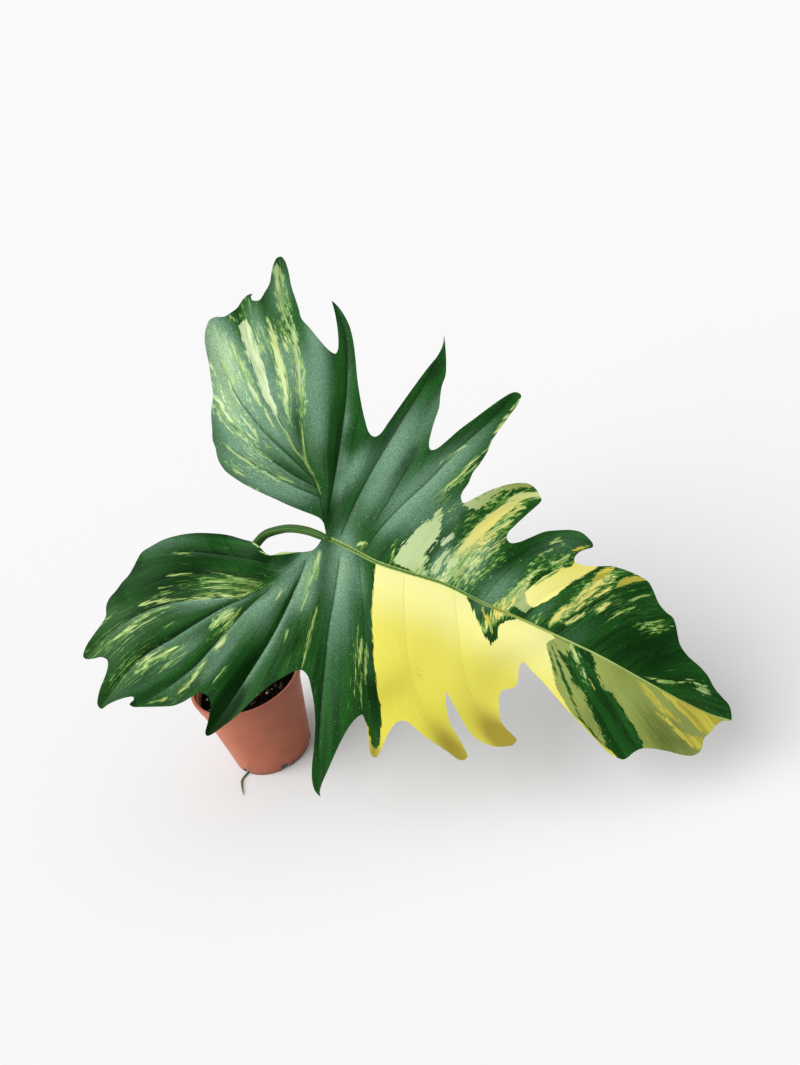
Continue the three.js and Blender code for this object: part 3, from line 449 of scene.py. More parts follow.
# Streaks that taper to both ends, as half widths and lines on the picture plane
STREAKS = {
    "mottled": [
        (4.5, [(229, 338), (236, 352), (243, 368), (250, 384), (257, 396), (264, 408)]),
        (3.5, [(252, 322), (258, 335), (262, 350), (267, 364)]),
        (4.5, [(264, 312), (273, 332), (279, 356), (285, 382), (288, 406)]),
        (4.0, [(276, 372), (282, 392), (287, 412), (292, 430)]),
        (5.5, [(275, 264), (279, 285), (283, 305), (289, 326), (295, 350)]),
        (6.0, [(289, 312), (294, 335), (298, 360), (300, 382), (301.5, 404), (302, 428)]),
        (3.6, [(212, 398), (222, 412), (234, 426), (250, 440)]),
        (3.0, [(213, 348), (222, 362), (232, 378), (240, 392)]),
        (6.0, [(209, 630), (218, 621), (227, 614), (237, 608)]),
        (3.5, [(303, 596), (308, 584), (313, 570), (319, 553)]),
        (5.2, [(444, 582), (456, 568), (470, 554), (484, 543)]),
        (4.4, [(446, 562), (455, 550), (468, 540), (480, 528)]), (3.5, [(484, 536), (500, 524), (518, 510)]),
        (3.5, [(440, 496), (452, 484), (466, 472)]), (4.5, [(410, 572), (422, 572), (436, 576)]),
        (3.0, [(470, 500), (486, 492), (506, 484)]), (4.0, [(504, 606), (512, 596), (526, 584)]),
        (4.6, [(692, 682), (701, 687), (711, 695)]), (4.0, [(566, 640), (575, 655), (583, 670), (589, 686)]),
    ],
    "cream": [
        (2.0, [(245, 376), (251, 388), (256, 397), (262, 407)]), (0.6, [(231, 343), (237, 356), (244, 371)]),
        (1.4, [(293, 330), (296.5, 352), (299, 374), (300.5, 400)]),
        (0.6, [(276, 265), (277, 280), (279, 297)]), (0.8, [(307, 586), (311, 579), (314, 571)]),
        (0.7, [(314, 570), (317, 562), (320, 552)]), (1.0, [(253, 541), (258, 545), (263, 549)]),
    ],
    "straw": [
        (1.8, [(356, 546.5), (361, 543), (367, 543)]),
        (5.5, [(453, 558), (472, 539), (486, 524), (502, 511), (523, 497)]),
        (3.6, [(508, 501), (522, 496), (543, 495)]),
        (3.1, [(267, 318), (270, 326), (273, 336), (276, 350), (279, 362), (282, 375), (285, 390),
               (287, 409)]),
        (1.2, [(213, 627), (219, 620), (226, 616), (233, 612)]), (1.4, [(214, 651), (220, 644), (226, 636)]),
        (0.6, [(185, 600), (205, 597.5), (225, 596), (240, 595.5), (250, 592)]),
        (1.2, [(164, 653), (171, 650), (178, 646)]), (0.5, [(140, 606), (150, 602.5), (168, 600)]),
        (0.8, [(137, 664), (150, 657), (162, 648)]), (0.8, [(136, 673), (144, 667), (152, 660)]),
        (1.0, [(520, 399), (509, 414), (500, 428), (489, 447)]),
        (0.8, [(488, 449), (472, 463), (458, 477), (444, 491)]), (1.2, [(125, 631), (130, 628), (136, 625)]),
        (0.9, [(171, 699), (184, 688), (195, 675), (205, 660)]), (0.8, [(484, 540), (498, 530), (513, 519)]),
        (0.9, [(504, 520), (514, 512), (526, 505)]), (0.6, [(488, 552), (500, 541), (512, 533)]),
        (0.5, [(476, 563), (488, 556), (499, 548)]), (1.3, [(576, 600), (582, 594), (589, 587)]),
        (1.3, [(594, 598), (602, 593), (611, 587)]), (2.0, [(549, 627), (556, 617), (564, 609), (572, 605)]),
        (1.0, [(563, 624), (573, 620), (584, 613)]), (0.7, [(570, 645), (575, 654), (580, 664)]),
        (0.6, [(360, 664), (360.5, 652), (361.5, 640)]), (1.8, [(596, 612), (603, 607), (610, 603)]),
        (1.4, [(574, 611), (583, 605), (592, 600)]), (2.2, [(588, 592), (596, 585), (604, 578)]),
        (1.4, [(578, 604), (590, 594), (600, 588)]), (1.2, [(551, 543), (555, 541), (562, 540)]),
        (1.2, [(494, 608), (504, 612), (512, 616)]),
    ],
    "gold": [
        (1.2, [(572, 551), (580, 548), (589, 546)]), (1.4, [(640, 686), (655, 703), (672, 722)]),
        (1.2, [(656, 712), (668, 722), (686, 736)]), (0.4, [(147, 703), (160, 700.5), (170, 698)]),
        (1.3, [(587, 676), (591, 683), (595, 690)]), (0.6, [(482, 606), (484, 614), (487, 622)]),
        (0.5, [(488, 616), (491, 626), (493, 634)]), (0.5, [(494, 608), (497, 615), (498, 622)]),
    ],
    "lime": [
        (0.9, [(272, 410), (288, 437), (295, 450), (302, 458), (308, 466), (314, 476), (321, 494)]),
        (1.0, [(301.5, 412), (303, 440), (305, 455), (308, 466), (311, 474)]),
        (1.4, [(486, 457), (470, 471), (452, 486)]), (1.2, [(448, 457), (456, 451), (467, 445)]),
        (0.7, [(440, 464), (447, 458), (455, 453)]),
        (2.0, [(198, 583), (215, 581), (232, 581), (247, 583), (262, 587)]),
        (1.8, [(200, 588), (220, 587), (238, 589), (254, 591)]), (1.2, [(150, 598), (162, 594), (177, 591)]),
        (0.9, [(166, 576), (180, 574), (194, 573)]), (0.5, [(158, 588), (176, 586), (196, 585)]),
        (1.3, [(212, 573), (222, 574), (236, 578), (262, 583)]),
        (0.9, [(170, 553.5), (182, 553), (192, 552.5)]), (1.3, [(196, 594.5), (210, 593), (226, 594)]),
        (1.5, [(139, 607), (150, 602.5), (165, 601), (186, 598.5)]),
        (1.3, [(132, 624), (145, 616), (158, 610), (174, 606)]),
        (1.0, [(128, 634), (140, 626), (152, 619), (163, 613)]), (1.0, [(104, 646), (120, 636), (136, 629)]),
        (1.0, [(160, 630), (168, 625), (177, 621)]), (1.1, [(94, 634), (104, 622), (116, 611)]),
        (1.6, [(147, 660), (160, 656), (174, 651)]), (1.1, [(134, 676), (142, 669), (150, 663)]),
        (1.0, [(158, 674), (170, 663), (182, 655)]), (1.8, [(222, 632), (230, 622), (241, 608)]),
        (1.5, [(145, 704), (158, 701), (172, 697)]), (0.9, [(212, 684), (219, 675), (227, 666)]),
        (1.0, [(240, 404), (233, 392), (228, 380)]), (1.3, [(301, 611), (305, 600), (309, 590)]),
        (1.4, [(312, 630), (314, 618), (318, 606)]), (1.3, [(306, 647), (309, 637), (312, 627)]),
        (1.3, [(302, 667), (306, 654), (309, 640)]), (1.0, [(284, 642), (286, 634), (288, 627)]),
        (1.0, [(275, 600), (280, 594), (286, 588)]), (0.6, [(354, 700), (356, 670), (357, 645), (358, 618)]),
        (0.8, [(362, 708), (361, 690), (361, 672)]), (1.0, [(366, 684), (366, 660), (367, 640)]),
        (1.4, [(227, 313), (231, 317), (238, 322)]), (1.5, [(208, 358), (211, 365), (216, 373)]),
        (1.8, [(212, 394), (217, 400), (225, 407)]), (1.0, [(214, 404), (221, 416), (229, 430)]),
        (1.3, [(219, 404), (227, 415), (236, 427)]), (0.9, [(251, 394), (257, 401), (265, 410)]),
        (1.0, [(261, 402), (268, 416), (276, 432)]), (1.2, [(240, 414), (248, 425), (259, 440)]),
        (1.4, [(222, 441), (239, 457), (256, 466)]), (1.1, [(231, 467), (237, 472), (245, 476)]),
        (1.3, [(270, 471), (280, 477), (293, 483)]), (1.6, [(246, 485), (252, 488), (260, 491)]),
        (1.3, [(535, 585), (548, 576), (558, 570), (566, 560)]), (2.4, [(558, 565), (564, 559), (571, 554)]),
        (1.2, [(538, 556), (545, 552), (554, 549)]), (1.6, [(607, 621), (620, 613), (636, 606)]),
        (0.9, [(640, 626), (651, 623), (664, 620)]), (0.8, [(650, 634), (657, 630), (664, 625)]),
        (1.3, [(628, 602), (640, 597), (652, 594)]), (0.8, [(645, 677), (659, 680), (674, 681)]),
        (0.6, [(658, 683), (671, 683.5), (684, 684)]), (0.8, [(677, 683), (686, 681), (694, 680)]),
        (1.2, [(694, 682), (700, 686), (709, 693)]),
    ],
    "plain": [
        (1.9, [(259, 551), (266, 553.5), (278, 553), (292, 551.3), (307, 549)]),
    ],
    "green": [
        (1.4, [(282, 322), (286, 334), (291, 347)]), (1.2, [(574, 710), (588, 728), (607, 748)]),
        (1.6, [(551, 645), (558, 662), (566, 682), (573, 695)]),
        (1.3, [(564, 645), (575, 668), (588, 692), (600, 720)]), (1.2, [(584, 668), (590, 684), (604, 712)]),
        (1.2, [(549, 650), (553, 664), (558, 677)]), (1.2, [(555, 644), (562, 658), (568, 670)]),
        (1.1, [(561, 676), (568, 690), (575, 703)]), (1.0, [(566, 688), (573, 702), (581, 716)]),
        (1.4, [(441, 566), (447, 556), (453, 549)]), (1.4, [(424, 556), (431, 548), (436, 541)]),
        (1.4, [(568, 654), (576, 670), (584, 686)]), (1.4, [(560, 650), (568, 664), (574, 680)]),
        (1.2, [(578, 655), (586, 670), (592, 686)]), (1.4, [(584, 696), (592, 712), (600, 730)]),
        (2.4, [(586, 664), (594, 678), (602, 694)]), (2.0, [(588, 700), (598, 720), (610, 742)]),
    ],
}

# Places where the skin differs, painted sheen and shade among them: x, y, radius and amount on the picture
# plane
TONES = {
    # Painted sheen: the greyish reflection of the light on the waxy skin
    "painted_sheen": [
        (318, 358, 15, 0.6), (316, 398, 16, 0.6), (313, 330, 9, 0.5), (318, 430, 12, 0.4),
        (214, 340, 14, 0.9), (225, 352, 16, 0.95), (238, 370, 16, 0.6), (220, 385, 16, 0.9),
        (230, 415, 18, 0.9), (248, 400, 14, 0.5), (250, 450, 20, 0.5), (232, 462, 14, 0.45),
        (290, 360, 12, 0.5), (296, 380, 12, 0.55), (284, 350, 10, 0.3), (262, 340, 12, 0.6),
        (280, 385, 9, 0.25), (270, 430, 14, 0.4), (280, 490, 14, 0.6), (300, 490, 10, 0.3),
        (276, 300, 10, 0.4), (277, 280, 9, 0.3), (285, 290, 8, 0.4), (256, 318, 10, 0.3),
        (385, 470, 18, 0.7), (398, 445, 12, 0.4), (355, 468, 10, 0.9), (375, 495, 10, 0.3),
        (420, 490, 18, 0.95), (450, 515, 15, 0.5), (428, 425, 12, 0.4), (410, 420, 12, 0.3),
        (440, 400, 8, 0.3), (470, 450, 14, 0.3), (450, 460, 12, 0.4), (420, 520, 12, 0.4),
        (395, 520, 12, 0.4), (488, 430, 12, 0.2), (276, 590, 9, 0.45), (295, 575, 11, 0.7),
        (312, 565, 12, 0.75), (258, 608, 10, 0.5), (342, 562, 14, 1.1), (338, 592, 15, 0.4),
        (345, 625, 14, 0.4), (328, 640, 12, 0.2), (360, 580, 9, 0.5), (240, 635, 9, 0.3), (222, 655, 9, 0.4),
        (208, 675, 8, 0.3), (168, 668, 12, 0.3), (190, 645, 9, 0.4), (150, 548, 12, 0.3),
        (180, 541, 12, 0.3), (205, 602, 9, 0.35), (225, 600, 8, 0.15), (185, 610, 8, 0.2),
        (128, 692, 10, 0.2), (488, 592, 12, 0.45), (541, 612, 10, 0.35), (576, 637, 12, 0.25),
        (278, 618, 8, 0.3), (265, 645, 7, 0.35), (250, 670, 6, 0.3), (310, 600, 8, 0.5),
        (265, 620, 10, 0.35), (300, 600, 7, 0.4), (441, 577, 9, 0.7), (505, 590, 12, 0.5),
        (347, 420, 5, 0.35), (344, 460, 5, 0.35), (340, 490, 5, 0.3), (560, 545, 14, 0.35),
        (335, 690, 10, 0.15), (283, 570, 8, 0.3), (470, 560, 14, 0.5), (485, 545, 10, 0.25),
        (475, 572, 12, 0.4), (440, 560, 9, 0.7), (280, 425, 12, 0.4), (271, 395, 10, 0.3),
        (284, 398, 8, 0.3), (262, 370, 12, 0.4), (249, 378, 9, 0.3),
    ],
    "shade": [
        (334, 420, 9, 0.35), (336, 460, 9, 0.35), (334, 500, 9, 0.45), (357, 400, 7, 0.4),
        (353, 440, 6, 0.4), (328, 520, 8, 0.6), (265, 560, 14, 0.5), (275, 548, 9, 0.5), (200, 565, 18, 0.5),
        (150, 590, 20, 0.45), (135, 658, 16, 0.45), (175, 584, 14, 0.4), (230, 690, 14, 0.6),
        (215, 720, 12, 0.9), (255, 655, 9, 0.35), (240, 670, 10, 0.35), (290, 650, 10, 0.4),
        (373, 690, 8, 0.8), (373, 650, 6, 0.6), (377, 720, 8, 0.6), (620, 640, 22, 0.45),
        (600, 612, 14, 0.3), (660, 640, 20, 0.6), (690, 680, 16, 0.6), (655, 665, 14, 0.5),
        (520, 552, 14, 0.6), (436, 370, 7, 0.6), (500, 410, 10, 0.3), (622, 740, 12, 0.5),
        (600, 700, 10, 0.4), (635, 595, 14, 0.4), (150, 690, 10, 0.3), (298, 640, 7, 0.4),
        (316, 760, 12, 0.2), (320, 720, 10, 0.3), (220, 612, 7, 0.3), (200, 622, 7, 0.2),
        (180, 632, 6, 0.15), (475, 508, 8, 0.5), (500, 500, 8, 0.5), (505, 535, 8, 0.2), (384, 440, 5, 0.4),
        (396, 474, 3, 0.45), (404, 462, 3, 0.5), (412, 450, 3, 0.35), (240, 640, 5, 0.2), (200, 660, 5, 0.2),
        (95, 650, 12, 0.35), (108, 695, 10, 0.35), (225, 712, 10, 0.9), (235, 700, 8, 0.6),
    ],
    "warm": [
        (100, 640, 18, 0.6), (120, 610, 16, 0.3), (110, 690, 14, 0.6), (140, 660, 20, 0.3),
        (160, 620, 16, 0.2), (230, 584, 14, 0.5), (200, 586, 14, 0.3), (300, 640, 14, 0.6),
        (357, 660, 14, 0.3), (358, 700, 12, 0.3), (376, 710, 10, 0.4), (372, 740, 8, 0.4),
        (180, 695, 12, 0.5), (210, 650, 10, 0.4), (440, 510, 14, 0.4), (500, 530, 14, 0.5),
        (545, 560, 16, 0.5), (590, 600, 18, 0.5), (560, 600, 14, 0.5), (575, 690, 14, 0.5),
        (316, 780, 14, 0.3), (210, 725, 12, 0.2), (90, 655, 10, 0.4), (330, 660, 12, 0.2),
        (250, 310, 14, 0.8), (280, 325, 14, 0.6), (268, 350, 12, 0.5),
    ],
    "flecks": [
        (225, 345, 18, 0.25), (240, 350, 22, 0.2), (232, 420, 22, 0.5), (285, 305, 12, 0.8),
        (262, 440, 20, 0.35), (245, 325, 12, 0.5), (292, 350, 8, 0.5), (290, 400, 8, 0.6),
        (262, 380, 12, 0.4), (216, 380, 8, 0.6), (235, 465, 14, 0.4), (270, 476, 12, 0.4),
        (277, 275, 6, 1.0), (212, 405, 8, 0.5), (285, 335, 8, 0.6), (246, 395, 8, 0.3), (225, 625, 8, 0.8),
        (168, 650, 10, 0.6), (140, 620, 12, 0.4), (245, 583, 10, 0.6), (230, 590, 8, 0.4),
        (318, 560, 10, 0.6), (312, 580, 8, 0.5), (450, 478, 10, 0.25), (445, 510, 14, 0.5),
        (470, 520, 12, 0.55), (500, 497, 12, 0.65), (515, 508, 10, 0.9), (495, 530, 12, 0.75),
        (475, 548, 12, 0.7), (460, 570, 14, 0.85), (480, 572, 14, 0.65), (500, 560, 12, 0.3),
        (440, 582, 8, 0.7), (425, 572, 8, 0.9), (410, 568, 6, 0.8), (545, 560, 14, 0.4), (530, 575, 10, 0.5),
        (565, 562, 8, 0.7), (570, 542, 14, 0.3), (508, 603, 9, 0.9), (520, 590, 8, 0.8), (540, 615, 8, 0.5),
        (582, 595, 10, 0.7), (565, 614, 10, 0.75), (554, 622, 6, 0.5), (600, 587, 10, 0.5),
        (600, 575, 8, 0.5), (620, 577, 10, 0.5), (626, 608, 10, 0.4), (600, 630, 10, 0.2),
        (655, 626, 10, 0.8), (650, 598, 8, 0.25), (697, 687, 6, 0.3), (650, 682, 8, 0.1), (690, 705, 8, 0.3),
        (712, 692, 8, 0.3), (668, 682, 8, 0.2), (645, 670, 8, 0.1), (570, 680, 10, 0.25),
        (583, 700, 10, 0.6), (592, 725, 10, 0.75), (575, 662, 8, 0.15), (585, 675, 8, 0.3),
        (490, 622, 10, 0.9), (620, 725, 10, 0.2), (393, 556, 9, 0.9), (365, 546, 6, 0.6), (600, 652, 8, 0.3),
        (330, 534, 9, -1.5), (345, 535, 9, -1.2), (322, 545, 7, -0.8), (340, 556, 8, -0.8),
    ],
    "threads": [
        (118, 640, 14, 0.6), (130, 662, 12, 0.4), (150, 615, 12, 0.45), (165, 660, 14, 0.45),
        (140, 675, 12, 0.3), (185, 648, 12, 0.3), (250, 585, 12, 0.6), (222, 585, 12, 0.55),
        (195, 585, 10, 0.3), (168, 592, 10, 0.25), (225, 573, 10, 0.25), (190, 550, 12, 0.15),
        (225, 630, 10, 0.5), (112, 690, 12, 0.25), (180, 690, 12, 0.4), (205, 672, 8, 0.5),
        (98, 640, 10, 0.15), (225, 345, 16, 0.6), (232, 415, 18, 0.5), (285, 305, 10, 0.6),
        (250, 310, 12, 0.6), (300, 440, 8, 0.3), (270, 345, 10, 0.6), (260, 460, 14, 0.4),
        (312, 620, 8, 0.5), (305, 650, 8, 0.6), (300, 590, 8, 0.4), (358, 660, 8, 0.55), (358, 690, 8, 0.45),
        (352, 640, 7, 0.3), (362, 620, 8, 0.3), (450, 478, 10, 0.4), (445, 500, 12, 0.5),
        (500, 530, 12, 0.6), (520, 600, 10, 0.6), (600, 600, 20, 0.3), (470, 510, 12, 0.5),
        (330, 534, 9, -1.0), (345, 535, 9, -1.0), (285, 590, 10, 0.35), (272, 600, 8, 0.3),
        (112, 672, 12, 0.25), (245, 560, 12, -0.2), (90, 655, 10, 0.3), (270, 470, 12, 0.3),
        (242, 380, 14, 0.25), (505, 430, 10, 0.2), (610, 600, 16, 0.3), (640, 610, 12, 0.3),
        (655, 627, 10, 0.5),
    ],
    "butter": [
        (470, 560, 26, 0.35), (500, 520, 20, 0.7), (566, 592, 28, 0.9), (610, 590, 28, 0.8),
        (690, 715, 24, 1.0), (545, 586, 14, 0.4), (585, 700, 30, 0.3), (490, 622, 12, 0.8),
    ],
    "pale": [
        (415, 540, 26, 1.1), (440, 555, 14, 1.0), (458, 560, 12, 0.8), (525, 602, 12, 0.55),
        (522, 588, 8, 0.3), (480, 500, 16, 0.35), (560, 660, 14, 0.25),
    ],
    "ripe": [
        (657, 733, 20, 0.7), (690, 748, 14, 0.3),
    ],
    # Brown at the lobe tips: partly the yellow skin ageing, partly painted shade where the tips curl away
    # from the light
    "browning_and_painted_shade": [
        (375, 752, 8, 1.0), (459, 756, 14, 0.9), (447, 738, 12, 0.2), (507, 742, 17, 1.1),
        (512, 745, 10, 0.6), (600, 745, 12, 0.4), (520, 690, 8, 0.4), (525, 665, 6, 0.3),
        (430, 715, 18, 0.2), (395, 728, 14, 0.25), (485, 712, 14, 0.25), (606, 745, 12, 0.3),
    ],
    "specks": [
        (420, 674, 4, 1.0), (417, 668, 3, 0.8), (421, 697, 2.5, 1.0), (442, 738, 4, 1.0),
        (395, 610, 2.5, 0.8), (440, 685, 3, 0.6), (478, 668, 3, 0.6), (406, 655, 3, 0.6),
    ],
}
TONE_LIMITS = {"painted_sheen": 1.9, "flecks": 1.3}


# Small tools

def hex_colour(text):
    """A linear RGBA colour from an sRGB hex value."""
    channels = [int(text[place:place + 2], 16) / 255 for place in (1, 3, 5)]
    return (*[c / 12.92 if c <= 0.04045 else ((c + 0.055) / 1.055) ** 2.4 for c in channels], 1)


def smooth_step(low, high, value):
    """0 below the low end, 1 above the high end, and smooth between."""
    share = np.clip((value - low) / (high - low), 0, 1)
    return share * share * (3 - 2 * share)


def deselect_all():
    """Nothing is selected, so that an operator acts only on what is added next."""
    bpy.ops.object.select_all(action="DESELECT")


def make_active(piece):
    """Selects one piece alone."""
    deselect_all()
    piece.select_set(True)
    bpy.context.view_layer.objects.active = piece


def apply_modifier(piece, kind, **settings):
    """Adds a modifier with its settings and applies it."""
    make_active(piece)
    modifier = piece.modifiers.new(kind.lower(), kind)
    for name, value in settings.items():
        setattr(modifier, name, value)
    bpy.ops.object.modifier_apply(modifier=modifier.name)


def clean_mesh(piece):
    """Merges doubled points and turns every face outwards."""
    make_active(piece)
    bpy.ops.object.mode_set(mode="EDIT")
    bpy.ops.mesh.select_all(action="SELECT")
    bpy.ops.mesh.remove_doubles(threshold=0.01 * MM)
    bpy.ops.mesh.normals_make_consistent(inside=False)
    bpy.ops.object.mode_set(mode="OBJECT")


def shade_smooth(piece, angle=35):
    """Smooth shading, except across edges sharper than an angle."""
    make_active(piece)
    bpy.ops.object.shade_smooth_by_angle(angle=math.radians(angle))


def mesh_piece(name, vertices, faces):
    """A new piece from points and faces."""
    mesh = bpy.data.meshes.new(name)
    mesh.from_pydata([tuple(point) for point in vertices], [], faces)
    piece = bpy.data.objects.new(name, mesh)
    bpy.context.scene.collection.objects.link(piece)
    return piece


def add_numbers(piece, name, values):
    """One number for each vertex, which a material reads by its name."""
    attribute = piece.data.attributes.new(name, "FLOAT", "POINT")
    attribute.data.foreach_set("value", np.asarray(values, np.float32))


def roughen(piece, name, size, height, detail=2, **settings):
    """Moves a surface in and out by cloudy noise of a size and a height."""
    texture = bpy.data.textures.new(name, "CLOUDS")
    texture.noise_scale = size
    texture.noise_depth = detail
    apply_modifier(piece, "DISPLACE", texture=texture, texture_coords="LOCAL", strength=height, **settings)


def place_on_part(piece, material, slot, *nodes):
    """The piece gets its look, moves with the plant and stands for these nodes; the slot is not used."""
    piece.data.materials.append(material)
    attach(piece, "root")
    if nodes:
        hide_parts(*nodes)


# The picture plane

LEVEL_FORWARD = Vector((0, math.cos(LOOK_DOWN), -math.sin(LOOK_DOWN)))
LEVEL_UP = Vector((0, math.sin(LOOK_DOWN), math.cos(LOOK_DOWN)))
VIEW_RIGHT = Vector((math.cos(LOOK_ROLL), 0, 0)) - LEVEL_UP * math.sin(LOOK_ROLL)
VIEW_UP = Vector((math.sin(LOOK_ROLL), 0, 0)) + LEVEL_UP * math.cos(LOOK_ROLL)


def sight_lines(x, y):
    """The direction in which each place on the picture plane is seen, one unit deep."""
    right = (np.asarray(x, float) - PICTURE_SIZE[0] / 2) / PICTURE_FOCAL
    up = (PICTURE_SIZE[1] / 2 - np.asarray(y, float)) / PICTURE_FOCAL
    return np.array(LEVEL_FORWARD) + np.multiply.outer(right, VIEW_RIGHT) + np.multiply.outer(up, VIEW_UP)


EYE = np.array((0, 0, POT_HEIGHT)) - RIM_CENTRE_DISTANCE * sight_lines(*RIM_CENTRE_PIXEL)


def line_points(line, step, closed=False):
    """Points on a smooth curve through a line of given points, none further apart than the step."""
    given = np.asarray(line, float)
    count = len(given)
    spans = count if closed else count - 1
    points = []
    for span in range(spans):
        if closed:
            before, start, end, after = (given[(span + k) % count] for k in (-1, 0, 1, 2))
        else:
            start, end = given[span], given[span + 1]
            before = given[span - 1] if span > 0 else 2 * start - end
            after = given[span + 2] if span + 2 < count else 2 * end - start
        reach0, reach1, reach2 = (
            math.sqrt(max(np.linalg.norm(b - a), 1e-6))
            for a, b in ((before, start), (start, end), (end, after)))
        leave = (start - before) / reach0 - (end - before) / (reach0 + reach1) + (end - start) / reach1
        arrive = (end - start) / reach1 - (after - start) / (reach1 + reach2) + (after - end) / reach2
        parts = math.ceil(np.linalg.norm(end - start) / step)
        t = (np.arange(parts) / parts)[:, None]
        points.append((2 * t**3 - 3 * t**2 + 1) * start + (t**3 - 2 * t**2 + t) * leave * reach1
                      + (3 * t**2 - 2 * t**3) * end + (t**3 - t**2) * arrive * reach1)
    if not closed:
        points.append(given[-1:])
    return np.vstack(points)


def line_length(line):
    """The length of a line on the picture plane."""
    return np.hypot(*np.diff(line, axis=0).T).sum()


def nearest_on_line(line, x, y):
    """For each place: its distance from a line, how far along that lies and the side (+1 is clockwise)."""
    line = np.asarray(line, float)
    nearest = np.full(np.shape(x), np.inf)
    along = np.zeros(np.shape(x))
    side = np.ones(np.shape(x))
    passed = 0
    for (ax, ay), (bx, by) in zip(line[:-1], line[1:]):
        dx, dy = bx - ax, by - ay
        length = math.hypot(dx, dy)
        share = np.clip(((x - ax) * dx + (y - ay) * dy) / length**2, 0, 1)
        distance = np.hypot(x - ax - share * dx, y - ay - share * dy)
        closer = distance < nearest
        nearest = np.where(closer, distance, nearest)
        along = np.where(closer, passed + share * length, along)
        side = np.where(closer, np.where(dx * (y - ay) - dy * (x - ax) > 0, 1, -1), side)
        passed += length
    return nearest, along, side


def is_inside(outline, x, y):
    """Whether each place is inside a closed outline."""
    inside = np.zeros(np.shape(x), bool)
    for (ax, ay), (bx, by) in zip(outline, np.roll(outline, -1, 0)):
        crosses = (ay > y) != (by > y)
        if ay != by:
            inside ^= crosses & (x < (bx - ax) * (y - ay) / (by - ay) + ax)
    return inside


def patch_depth(outline, x, y):
    """How deep each place lies inside a closed outline, and negative outside it."""
    outline = np.asarray(outline, float)
    distance = nearest_on_line(np.vstack([outline, outline[:1]]), x, y)[0]
    return np.where(is_inside(outline, x, y), distance, -distance)


def streak_depth(half_width, line, x, y):
    """How deep each place lies inside a streak that tapers to both ends, and negative outside it."""
    distance, along, _ = nearest_on_line(line, x, y)
    share = along / line_length(line)
    return half_width * (1 - np.abs(2 * share - 1)**STREAK_FULLNESS) - distance


def deepest(depth_reads, x, y):
    """The greatest of several depths, each read only near its own line, and -PATTERN_REACH far from all."""
    result = np.full(len(x), -float(PATTERN_REACH))
    for read, line in depth_reads:
        left, top = np.min(line, 0) - PATTERN_REACH
        right, bottom = np.max(line, 0) + PATTERN_REACH
        near = np.flatnonzero((x > left) & (x < right) & (y > top) & (y < bottom))
        result[near] = np.maximum(result[near], read(x[near], y[near]))
    return result


# The blade's surface

MIDRIB_CURVE = line_points(MIDRIB, LINE_STEP)
UPPER_CURVES = [line_points(vein, LINE_STEP) for vein in UPPER_VEINS]
LOWER_CURVES = [line_points(vein, LINE_STEP) for vein in LOWER_VEINS]


def general_shape(x, y):
    """How far the blade lies behind its plane as a whole."""
    total = np.zeros(np.shape(x))
    weights = np.zeros(np.shape(x))
    for px, py, behind in BLADE_SHAPE:
        weight = np.exp(-((x - px)**2 + (y - py)**2) / (2 * SHAPE_RADIUS**2)) + 1e-9
        total += weight * behind * MM
        weights += weight
    return total / weights


def groove_shape(distances):
    """The blade swells between its veins, which lie in valleys."""
    power = 1 / (VEIN_GROOVE_SOFTNESS * VEIN_GROOVE_WIDTH)
    valley = (VEIN_SHARES[:, None]**(1 / power) * np.exp(-VEIN_GROOVE_SOFTNESS * distances)).sum(0)**power
    return -VEIN_GROOVE * (1 - np.minimum(valley, 1))


def crest_shape(x, y):
    """The part behind the crest stands back from it."""
    distance, along, side = nearest_on_line(CREST, x, y)
    height = CREST_STEP * np.sin(math.pi * along / line_length(CREST))
    behind = height * smooth_step(0, CREST_RAMP, distance) * np.exp(-distance / CREST_REACH)
    return np.where(side > 0, behind, 0)


def rolled_margin_shape(x, y):
    """A stretch of the lower margin rolls under."""
    middle = (ROLLED_MARGIN["left"] + ROLLED_MARGIN["right"]) / 2
    reach = 1 - smooth_step(0.5, 1, np.abs(x - middle) / (ROLLED_MARGIN["right"] - middle))
    return EDGE_ROLL * reach * np.exp(-np.maximum(ROLLED_MARGIN["y"] - y, 0) / EDGE_ROLL_WIDTH)


def blade_places(x, y, distances):
    """The blade's front surface at places on the picture plane."""
    sight = sight_lines(x, y)
    facing = np.array((0, -math.cos(BLADE_LEAN), math.sin(BLADE_LEAN)))
    anchor = EYE + BLADE_DISTANCE * sight_lines(*MIDRIB[0])
    plane = (anchor - EYE) @ facing / (sight @ facing)
    behind = general_shape(x, y) + groove_shape(distances) + crest_shape(x, y) + rolled_margin_shape(x, y)
    return EYE + sight * (plane + behind)[:, None]


def vein_coordinates(curves, x, y, turn):
    """Across (from vein to vein) and along (from the roots) coordinates that follow a fan of veins."""
    curves = [np.vstack([curve, curve[-1] + VEIN_OVERRUN * (curve[-1] - curve[-3])]) for curve in curves]
    reads = [nearest_on_line(curve, x, y) for curve in curves]
    distances, alongs, sides = (np.array(values) for values in zip(*reads))
    widths = [nearest_on_line(b, *a[len(a) // 3:].T)[0].mean() for a, b in zip(curves, curves[1:])]
    places = np.concatenate([[0], np.cumsum(widths)])
    first = distances.argmin(0)
    each = np.arange(len(x))
    step = (sides[first, each] * turn).astype(int)
    second = np.clip(first + step, 0, len(curves) - 1)
    outer = second == first
    near, far = distances[first, each], distances[second, each]
    share = np.where(outer, 0, near / (near + far + 1e-6))
    across = places[first] + share * (places[second] - places[first]) + np.where(outer, step * near, 0)
    along = (1 - share) * alongs[first, each] + share * alongs[second, each]
    return across, along


